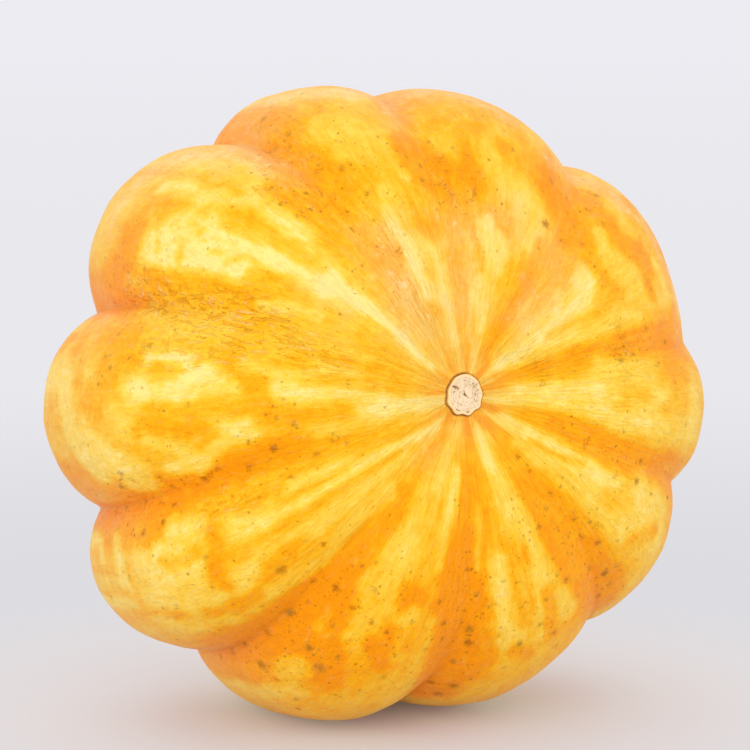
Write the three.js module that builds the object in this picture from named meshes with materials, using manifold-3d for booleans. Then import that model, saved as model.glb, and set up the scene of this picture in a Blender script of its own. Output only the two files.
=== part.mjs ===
// Mini pumpkin: a ten-ribbed fruit and the short cut stem in its hollow.
// Millimetres, +Z up. The fruit stands on its rim: its core axis points to -Y,
// leaning back a little, and two neighbouring ribs carry it.
import * as THREE from 'three';
import { mergeVertices } from 'three/addons/utils/BufferGeometryUtils.js';
import Module from 'manifold-3d';

// ---- driving dimensions ------------------------------------------------------
const RADIUS = 61.92;          // from the core axis to the rim of a plain rib
const FLATNESS = 0.679;        // half height along the core over RADIUS
const BOXINESS = 2.54;         // 2 is an ellipse, more is squarer in the profile
const LEAN_DEG = 6.53;         // stem end raised above level
const HOLLOW_DEPTH = 4.33;     // hollow at the stem end
const HOLLOW_RADIUS = 18.6;
const BLOSSOM_SHARE = 0.8;     // the blossom end's hollow over the stem end's
const FURROW_DEPTH = 7.21;     // furrow at the rim, times each furrow's own factor
const RIB_ROUND = 0.72;        // roundness of a rib across
const FURROW_SOFT = 0.10;      // rounding at the bottom of a furrow, at the rim
const FURROW_EASE = 0.35;      // further rounding towards both ends of the core
const FURROW_FADE = 1.8;       // how fast furrows die out towards the core
const FOOT_CUT = 0.6;          // depth of the flats under the two lowest ribs
const STEM_RADIUS = 3.36;      // the cut stem's mean radius
const STEM_TALL = 1.10;        // its height over its width
const STEM_EGG = 0.09;         // how much narrower it is at the top
const STEM_PROUD = 0.9;        // its cut face above the skin around it
const STEM_SUNK = 1.5;         // its foot below the skin
const STEM_WAVES = 9;          // scallops of its edge, the strands of the stem
const STEM_WAVE = 0.16;        // depth of a scallop, none at the top
const GAP = 0.3;               // clearance between the stem and its seat

// one row per furrow, anticlockwise from +X as seen from the stem end:
// longitude at the blossom end, drift towards the stem end, bend between the
// two (degrees), depth factor, swell of the rib that follows (share of RADIUS)
const FURROWS = [
  [11.5, 0.2, -8.6, 0.41, -0.031],
  [50.9, -0.3, -2.9, 1.18, -0.075],
  [88.0, 3.7, 1.8, 1.24, -0.066],
  [118.3, 0.1, 2.1, 1.24, -0.033],
  [161.0, -4.6, 0.5, 1.25, -0.010],
  [203.0, -6.6, -4.6, 1.00, 0.014],
  [234.1, -6.7, -0.3, 0.77, 0.004],
  [265.8, 5.6, -0.3, 0.93, -0.018],
  [306.3, 4.0, -1.1, 0.65, 0.003],
  [339.0, -1.1, 0.8, 0.46, 0.014],
];
// stations across one rib, from its furrow (0) to the next one (1)
const ACROSS = [0, 0.05, 0.16, 0.32, 0.5, 0.68, 0.84, 0.95];
const ROWS = 32;               // rings from the stem end to the blossom end

// ---- the ribbed surface ------------------------------------------------------
const rad = THREE.MathUtils.degToRad;
const TURN = 2 * Math.PI;
const wrap = (angle) => ((angle % TURN) + TURN) % TURN;
const power = (x, p) => Math.sign(x) * Math.abs(x) ** p;
const ease = (x) => x * x * (3 - 2 * x);
const step = (a, b, x) => ease(Math.min(1, Math.max(0, (x - a) / (b - a))));

// longitude of a furrow at the given angle from the stem end
function furrowAt(k, psi) {
  const [base, drift, bend] = FURROWS[k];
  const near = (1 + Math.cos(psi)) / 2;
  return rad(base + drift * near ** 2 + bend * Math.sin(psi) ** 2 * near);
}

// a point of the skin: rib k, share x across it, angle psi from the stem end.
// Local axes: x right and y up as seen from the stem end, z along the core.
function skin(k, x, psi) {
  const next = (k + 1) % FURROWS.length;
  const from = furrowAt(k, psi);
  const phi = from + x * wrap(furrowAt(next, psi) - from);
  const s = Math.sin(psi), co = Math.cos(psi);
  const half = RADIUS * FLATNESS;
  const rho = RADIUS * Math.abs(s) ** (2 / BOXINESS);
  let w = half * power(co, 2 / BOXINESS);
  const hollow = Math.exp(-((rho / HOLLOW_RADIUS) ** 2)) * HOLLOW_DEPTH;
  w -= Math.sign(co) * hollow * (co > 0 ? 1 : BLOSSOM_SHARE);
  const e = (2 * (BOXINESS - 1)) / BOXINESS;
  let nr = Math.abs(s) ** e / RADIUS, nw = power(co, e) / half;
  const m = Math.hypot(nr, nw);
  nr /= m; nw /= m;
  const raw = (4 * x * (1 - x)) ** RIB_ROUND;
  const soft = FURROW_SOFT + FURROW_EASE * step(1.45, 0.8, Math.min(psi, Math.PI - psi));
  const rib = (Math.hypot(raw, soft) - soft) / (Math.hypot(1, soft) - soft);
  const t = ease(x), out = rho / RADIUS;
  const depth = FURROW_DEPTH * out ** FURROW_FADE * (FURROWS[k][3] * (1 - t) + FURROWS[next][3] * t);
  const h = -depth * (1 - rib) + FURROWS[k][4] * RADIUS * rib * out ** 1.5;
  const r = rho + nr * h;
  return new THREE.Vector3(r * Math.cos(phi), r * Math.sin(phi), w + nw * h);
}

// a sphere whose meridians follow the ribs, pushed out to the skin
function fruitGeometry() {
  const across = ACROSS.length, ribs = FURROWS.length;
  const geometry = new THREE.SphereGeometry(1, ribs * across, ROWS);
  const position = geometry.attributes.position, uv = geometry.attributes.uv;
  for (let i = 0; i < position.count; i++) {
    const column = Math.floor(i % (ribs * across + 1)) % (ribs * across);
    const psi = Math.PI * (1 - uv.getY(i));
    const p = skin(Math.floor(column / across), ACROSS[column % across], psi);
    position.setXYZ(i, p.x, p.y, p.z);
  }
  return closed(geometry);
}

// a short disc with a wavy edge, its ends bevelled, along local z
function stemGeometry(radius, low, high, bevel) {
  const shape = new THREE.Shape(stemOutline(radius));
  const geometry = new THREE.ExtrudeGeometry(shape, {
    depth: high - low - 2 * bevel, steps: 1, curveSegments: 1,
    bevelEnabled: bevel > 0, bevelThickness: bevel, bevelSize: bevel,
    bevelOffset: -bevel, bevelSegments: 1,
  });
  geometry.translate(0, 0, low + bevel);
  return closed(geometry);
}

function stemOutline(radius) {
  const points = [];
  for (let i = 0; i < STEM_WAVES * 6; i++) {
    const angle = (i / (STEM_WAVES * 6)) * TURN;
    const c = Math.cos(angle), s = Math.sin(angle);
    const wave = STEM_WAVE * Math.cos(STEM_WAVES * angle) * (1 - 0.8 * s) / 1.8;
    const r = (radius + wave + 0.08 * Math.sin(2 * angle + 0.6)) * Math.hypot(c * (1 - STEM_EGG * s), s * STEM_TALL);
    points.push(new THREE.Vector2(r * c, r * s));
  }
  return points;
}

// positions only, shared corners merged, so the mesh is one closed skin
function closed(geometry) {
  geometry.deleteAttribute('normal');
  geometry.deleteAttribute('uv');
  const merged = mergeVertices(geometry, 1e-4);
  const kept = [];
  const index = merged.index.array;
  for (let i = 0; i < index.length; i += 3) {
    const [a, b, c] = [index[i], index[i + 1], index[i + 2]];
    if (a !== b && b !== c && c !== a) kept.push(a, b, c);
  }
  merged.setIndex(kept);
  return merged;
}

// ---- joins and cuts ----------------------------------------------------------
const wasm = await Module();
wasm.setup();

const solidOf = (geometry) => new wasm.Manifold(new wasm.Mesh({
  numProp: 3,
  vertProperties: new Float32Array(geometry.attributes.position.array),
  triVerts: new Uint32Array(geometry.index.array),
}));

function geometryOf(solid) {
  const mesh = solid.getMesh();
  const geometry = new THREE.BufferGeometry();
  geometry.setAttribute('position', new THREE.BufferAttribute(new Float32Array(mesh.vertProperties), 3));
  geometry.setIndex([...mesh.triVerts]);
  return geometry;
}

// local axes -> the standing pose: the core points to -Y, raised by the lean
const lean = rad(LEAN_DEG);
const stand = new THREE.Matrix4().makeBasis(
  new THREE.Vector3(1, 0, 0),
  new THREE.Vector3(0, Math.sin(lean), Math.cos(lean)),
  new THREE.Vector3(0, -Math.cos(lean), Math.sin(lean)),
);

const poleHeight = RADIUS * FLATNESS - HOLLOW_DEPTH;
const seat = stemGeometry(STEM_RADIUS + GAP, poleHeight - STEM_SUNK - GAP, poleHeight + 8, 0);
const stem = stemGeometry(STEM_RADIUS, poleHeight - STEM_SUNK, poleHeight + STEM_PROUD, 0.25);
const whole = fruitGeometry().applyMatrix4(stand);
seat.applyMatrix4(stand);
stem.applyMatrix4(stand);

// the flats that carry the fruit: a thin slice off the two lowest ribs
whole.computeBoundingBox();
const floorZ = whole.boundingBox.min.z + FOOT_CUT;
const below = new THREE.BoxGeometry(400, 400, 100);
below.translate(0, 0, floorZ - 50);
const fruit = geometryOf(solidOf(whole).subtract(solidOf(closed(below))).subtract(solidOf(seat)));

// origin: middle of the outline, on the surface it stands on
const box = new THREE.Box3()
  .setFromBufferAttribute(fruit.attributes.position)
  .union(new THREE.Box3().setFromBufferAttribute(stem.attributes.position));
const middle = box.getCenter(new THREE.Vector3());

const pumpkin = new THREE.Group();
pumpkin.name = 'mini_pumpkin';
pumpkin.position.set(-middle.x, -middle.y, -floorZ);

const add = (name, geometry, material) => {
  geometry.computeVertexNormals();
  const mesh = new THREE.Mesh(geometry, material);
  mesh.name = name;
  pumpkin.add(mesh);
  return mesh;
};
add('fruit', fruit, new THREE.MeshStandardMaterial({ color: 0xffb52e, roughness: 0.42, metalness: 0 }));
add('cut_stem', stem, new THREE.MeshStandardMaterial({ color: 0xf3dcb4, roughness: 0.85, metalness: 0 }));

export default pumpkin;
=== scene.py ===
"""Mini pumpkin: a ten-ribbed striped fruit standing on its rim, and its short cut stem."""
import math

import bpy
import numpy as np
from mathutils import Matrix, Vector


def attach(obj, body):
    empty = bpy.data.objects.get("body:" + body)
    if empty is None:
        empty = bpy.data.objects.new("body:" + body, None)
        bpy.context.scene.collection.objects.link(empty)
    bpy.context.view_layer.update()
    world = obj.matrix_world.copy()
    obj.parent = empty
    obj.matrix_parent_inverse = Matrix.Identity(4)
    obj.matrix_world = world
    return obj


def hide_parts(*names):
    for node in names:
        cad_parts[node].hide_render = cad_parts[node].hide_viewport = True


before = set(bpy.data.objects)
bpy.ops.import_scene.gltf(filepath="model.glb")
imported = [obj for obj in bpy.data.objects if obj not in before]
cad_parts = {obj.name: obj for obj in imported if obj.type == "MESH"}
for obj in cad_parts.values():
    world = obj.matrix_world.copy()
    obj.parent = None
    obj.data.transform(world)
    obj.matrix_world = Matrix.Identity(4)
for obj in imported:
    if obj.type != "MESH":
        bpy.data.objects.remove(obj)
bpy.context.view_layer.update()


MM = 0.001
TAU = 2 * math.pi

# ---- the fruit's shape, as in the model it stands for (mm) ----------------------
RADIUS, FLATNESS, BOXINESS = 61.92, 0.679, 2.54
HALF = RADIUS * FLATNESS
LEAN = math.radians(6.53)
HOLLOW_DEPTH, HOLLOW_RADIUS, BLOSSOM_SHARE = 4.33, 18.6, 0.8
FURROW_DEPTH, RIB_ROUND, FURROW_SOFT = 7.21, 0.72, 0.10
STEM_RADIUS, STEM_TALL, STEM_EGG, STEM_WAVES, STEM_WAVE = 3.36, 1.10, 0.09, 9, 0.16
STEM_PROUD, STEM_SUNK = 0.9, 1.5
ORIGIN = np.array([-0.525, 0.3817, 59.1631])  # the core's middle in the row's frame
POLE = HALF - HOLLOW_DEPTH
FURROWS = np.array([
    [11.5, 0.2, -8.6, 0.41, -0.031],
    [50.9, -0.3, -2.9, 1.18, -0.075],
    [88.0, 3.7, 1.8, 1.24, -0.066],
    [118.3, 0.1, 2.1, 1.24, -0.033],
    [161.0, -4.6, 0.5, 1.25, -0.010],
    [203.0, -6.6, -4.6, 1.00, 0.014],
    [234.1, -6.7, -0.3, 0.77, 0.004],
    [265.8, 5.6, -0.3, 0.93, -0.018],
    [306.3, 4.0, -1.1, 0.65, 0.003],
    [339.0, -1.1, 0.8, 0.46, 0.014],
])
RIBS = len(FURROWS)


def ease(x):
    return x * x * (3 - 2 * x)


def step(a, b, x):
    return ease(np.clip((x - a) / (b - a), 0, 1))


def power(x, p):
    return np.sign(x) * np.abs(x) ** p


def furrow_at(k, psi):
    near = (1 + np.cos(psi)) / 2
    f = FURROWS[k]
    return np.radians(f[..., 0] + f[..., 1] * near ** 2 + f[..., 2] * np.sin(psi) ** 2 * near)


def longitude(s, psi):
    k = np.floor(s).astype(int) % RIBS
    x = s - np.floor(s)
    a = furrow_at(k, psi)
    return a + x * np.mod(furrow_at((k + 1) % RIBS, psi) - a, TAU)


def rib_round(x, psi=math.pi / 2):
    """Height of a rib across; its furrows are rounder towards both ends of the core."""
    soft = FURROW_SOFT + 0.35 * step(1.45, 0.80, np.minimum(psi, math.pi - psi))
    raw = (4 * x * (1 - x)) ** RIB_ROUND
    return (np.hypot(raw, soft) - soft) / (np.hypot(1, soft) - soft)


def skin(s, psi):
    """Points of the skin in the core's own axes, mm: s counts ribs, psi is the angle from the stem."""
    k = np.floor(s).astype(int) % RIBS
    k2 = (k + 1) % RIBS
    x = s - np.floor(s)
    phi = longitude(s, psi)
    sn, co = np.sin(psi), np.cos(psi)
    rho = RADIUS * np.abs(sn) ** (2 / BOXINESS)
    w = HALF * power(co, 2 / BOXINESS)
    hollow = np.exp(-((rho / HOLLOW_RADIUS) ** 2)) * HOLLOW_DEPTH
    w = w - np.sign(co) * hollow * np.where(co > 0, 1, BLOSSOM_SHARE)
    e = 2 * (BOXINESS - 1) / BOXINESS
    nr, nw = np.abs(sn) ** e / RADIUS, power(co, e) / HALF
    m = np.hypot(nr, nw)
    nr, nw = nr / m, nw / m
    rib, t, out = rib_round(x, psi), ease(x), rho / RADIUS
    depth = FURROW_DEPTH * out ** 1.8 * (FURROWS[k, 3] * (1 - t) + FURROWS[k2, 3] * t)
    h = -depth * (1 - rib) + FURROWS[k, 4] * RADIUS * rib * out ** 1.5
    r = rho + nr * h
    return np.stack([r * np.cos(phi), r * np.sin(phi), w + nw * h], -1)


def stand(local):
    """The core's own axes to the row's frame, mm."""
    u, v, w = local[..., 0], local[..., 1], local[..., 2]
    c, s = math.cos(LEAN), math.sin(LEAN)
    return np.stack([u, -c * w + s * v, s * w + c * v], -1) + ORIGIN


def stem_outline(angle):
    """The cut stem's edge, mm, at an angle about the core."""
    c, s = np.cos(angle), np.sin(angle)
    wave = STEM_WAVE * np.cos(STEM_WAVES * angle) * (1 - 0.8 * s) / 1.8
    return (STEM_RADIUS + wave + 0.08 * np.sin(2 * angle + 0.6)) * np.hypot(c * (1 - STEM_EGG * s), s * STEM_TALL)


# ---- smooth noise, the same at every run ----------------------------------------
def noise(p, seed=0):
    """Gradient noise of points (n, 3), about -1 to 1."""
    p = np.asarray(p, float)
    i = np.floor(p).astype(np.int64)
    f = p - i
    w = f * f * f * (f * (f * 6 - 15) + 10)
    total = np.zeros(len(p))
    for c in range(8):
        o = np.array([c & 1, c >> 1 & 1, c >> 2 & 1])
        q = i + o
        h = (q[:, 0] * 73856093) ^ (q[:, 1] * 19349663) ^ (q[:, 2] * 83492791) ^ (seed * 2654435761)
        h = (h ^ (h >> 13)) * 1274126177 & 0xFFFFFFFF
        h = h ^ (h >> 16)
        a = (h & 1023) / 1023 * TAU
        z = (h >> 10 & 1023) / 511.5 - 1
        r = np.sqrt(np.maximum(0, 1 - z * z))
        g = np.stack([r * np.cos(a), r * np.sin(a), z], -1)
        d = np.sum(g * (f - o), -1)
        ww = np.prod(np.where(o, w, 1 - w), -1)
        total += d * ww
    return total * 1.6


def layered(p, seed, octaves=3, gain=0.5):
    total, size, scale = np.zeros(len(p)), 1.0, 1.0
    for o in range(octaves):
        total += size * noise(p * scale + 17.3 * o, seed + o)
        size *= gain
        scale *= 2.03
    return total


# ---- meshes ---------------------------------------------------------------------
def grid_mesh(name, points, close_low=True, close_high=True):
    """A closed mesh from rows of points round an axis (rows, columns, 3), mm, with a point at each end."""
    rows, cols = points.shape[:2]
    verts = points.reshape(-1, 3)
    r, c = np.meshgrid(np.arange(rows - 1), np.arange(cols), indexing="ij")
    c2 = (c + 1) % cols
    quads = np.stack([r * cols + c, (r + 1) * cols + c, (r + 1) * cols + c2, r * cols + c2], -1).reshape(-1, 4)
    first, last = len(verts), len(verts) + 1
    verts = np.vstack([verts, points[0].mean(0), points[-1].mean(0)])
    j = np.arange(cols)
    cap0 = np.stack([np.full(cols, first), j, (j + 1) % cols], -1)
    b = (rows - 1) * cols
    cap1 = np.stack([np.full(cols, last), b + (j + 1) % cols, b + j], -1)
    mesh = bpy.data.meshes.new(name)
    mesh.from_pydata((verts * MM).tolist(), [], quads.tolist() + cap0.tolist() + cap1.tolist())
    mesh.update()
    mesh.polygons.foreach_set("use_smooth", [True] * len(mesh.polygons))
    obj = bpy.data.objects.new(name, mesh)
    bpy.context.scene.collection.objects.link(obj)
    return obj


def coords(mesh):
    a = np.empty(len(mesh.vertices) * 3, np.float64)
    mesh.vertices.foreach_get("co", a)
    return a.reshape(-1, 3) / MM


def set_coords(mesh, a):
    mesh.vertices.foreach_set("co", (a * MM).ravel())
    mesh.update()


def normals(mesh):
    a = np.empty(len(mesh.vertices) * 3, np.float32)
    mesh.vertex_normals.foreach_get("vector", a)
    return a.reshape(-1, 3).astype(float)


def store(mesh, name, values):
    values = np.asarray(values, float)
    if values.ndim == 1:
        mesh.attributes.new(name, "FLOAT", "POINT").data.foreach_set("value", values)
    else:
        mesh.attributes.new(name, "FLOAT_VECTOR", "POINT").data.foreach_set("vector", values.ravel())


# stations across a rib, closer together in the furrow
ACROSS = 38
t = np.arange(ACROSS) / ACROSS
across = t - 0.35 * np.sin(TAU * t) / TAU
S = (np.arange(RIBS)[:, None] + across[None]).ravel()

# rows: round the stem as shares of its outline, then even steps to the blossom end
NEAR = np.array([0.45, 0.8, 0.97, 1.018, 1.028, 1.05, 1.09, 1.13, 1.19, 1.27, 1.38, 1.52, 1.7, 1.88, 2.05])
fine = np.linspace(0, math.pi, 20001)
edge = np.stack([RADIUS * np.sin(fine) ** (2 / BOXINESS), HALF * power(np.cos(fine), 2 / BOXINESS)], -1)
run = np.concatenate([[0], np.cumsum(np.hypot(*np.diff(edge, axis=0).T))])
start = np.interp(2.4 * STEM_RADIUS, edge[:10000, 0], run[:10000])
even = np.interp(np.linspace(start, run[-1] - 7.0, 212), run, fine)
BLOSSOM = np.array([6.2, 5.4, 4.7, 4.1, 3.6, 3.2, 2.8, 2.4, 2.0, 1.6, 1.2, 0.8, 0.4])
end = math.pi - np.arcsin((BLOSSOM / RADIUS) ** (BOXINESS / 2))

near_phi = longitude(S, np.full(len(S), 0.1))
outline = stem_outline(near_phi)
near_psi = np.arcsin((NEAR[:, None] * outline[None] / RADIUS) ** (BOXINESS / 2))
far = np.concatenate([even, end])
PSI = np.vstack([near_psi, np.repeat(far[:, None], len(S), 1)])
SS = np.repeat(S[None], len(PSI), 0)
local = skin(SS, PSI)

# the seat of the stem and the slight collar of skin round it
share = np.concatenate([NEAR, np.full(len(far), 9.0)])[:, None]
rho = np.hypot(local[..., 0], local[..., 1])
lift = 0.22 * np.exp(-(((share - 1.13) / 0.1) ** 2)) * (share > 1.024)
lift = lift - (STEM_SUNK - 0.2) * (share < 1.024)
local[..., 2] += lift
# the blossom end: a low rim round a small scar, and the withered tip
back = (PSI > 2.5) * 1.0
scar = -0.35 * np.exp(-(((rho - 3.9) / 0.7) ** 2)) + 0.35 * step(3.3, 2.6, rho) - 0.75 * step(1.0, 0.3, rho)
local[..., 2] += scar * back

fruit = grid_mesh("fruit_skin", stand(local))
fm = fruit.data
n_pts = len(fm.vertices)
s_all = np.concatenate([SS.ravel(), [0, 0]])
psi_all = np.concatenate([PSI.ravel(), [0, math.pi]])
x_all = s_all - np.floor(s_all)
k_all = np.floor(s_all).astype(int) % RIBS
rib_all = rib_round(x_all)
rho_all = np.concatenate([rho.ravel(), [0, 0]])
even_phi = s_all / RIBS * TAU
mer = np.stack([np.cos(even_phi), np.sin(even_phi), psi_all], -1)

P = coords(fm)
N = normals(fm)
open_skin = step(4.6, 9.0, rho_all)
dents = 0.30 * layered(P / 21.0, 3, 2) + 0.10 * layered(P / 7.5, 11, 2)
# fine wrinkles that run round the core, in the furrows
wr = np.stack([mer[:, 0] * 7, mer[:, 1] * 7, psi_all * 42], -1)
wrinkle = 0.05 * layered(wr, 23, 2) * step(0.75, 0.2, rib_all) * step(8, 20, rho_all)
# faint cords that run from the stem over the ribs
cords = 0.11 * layered(np.stack([mer[:, 0] * 9, mer[:, 1] * 9, psi_all * 1.3], -1), 31, 2)
set_coords(fm, P + N * ((dents + wrinkle + cords) * open_skin)[:, None])
# it stands on two ribs: nothing goes below the surface
P = coords(fm)
z = P[:, 2]
P[:, 2] = np.where(z < 4, 0.5 * (z + np.hypot(z, 0.16)), z)
set_coords(fm, P)

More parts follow.
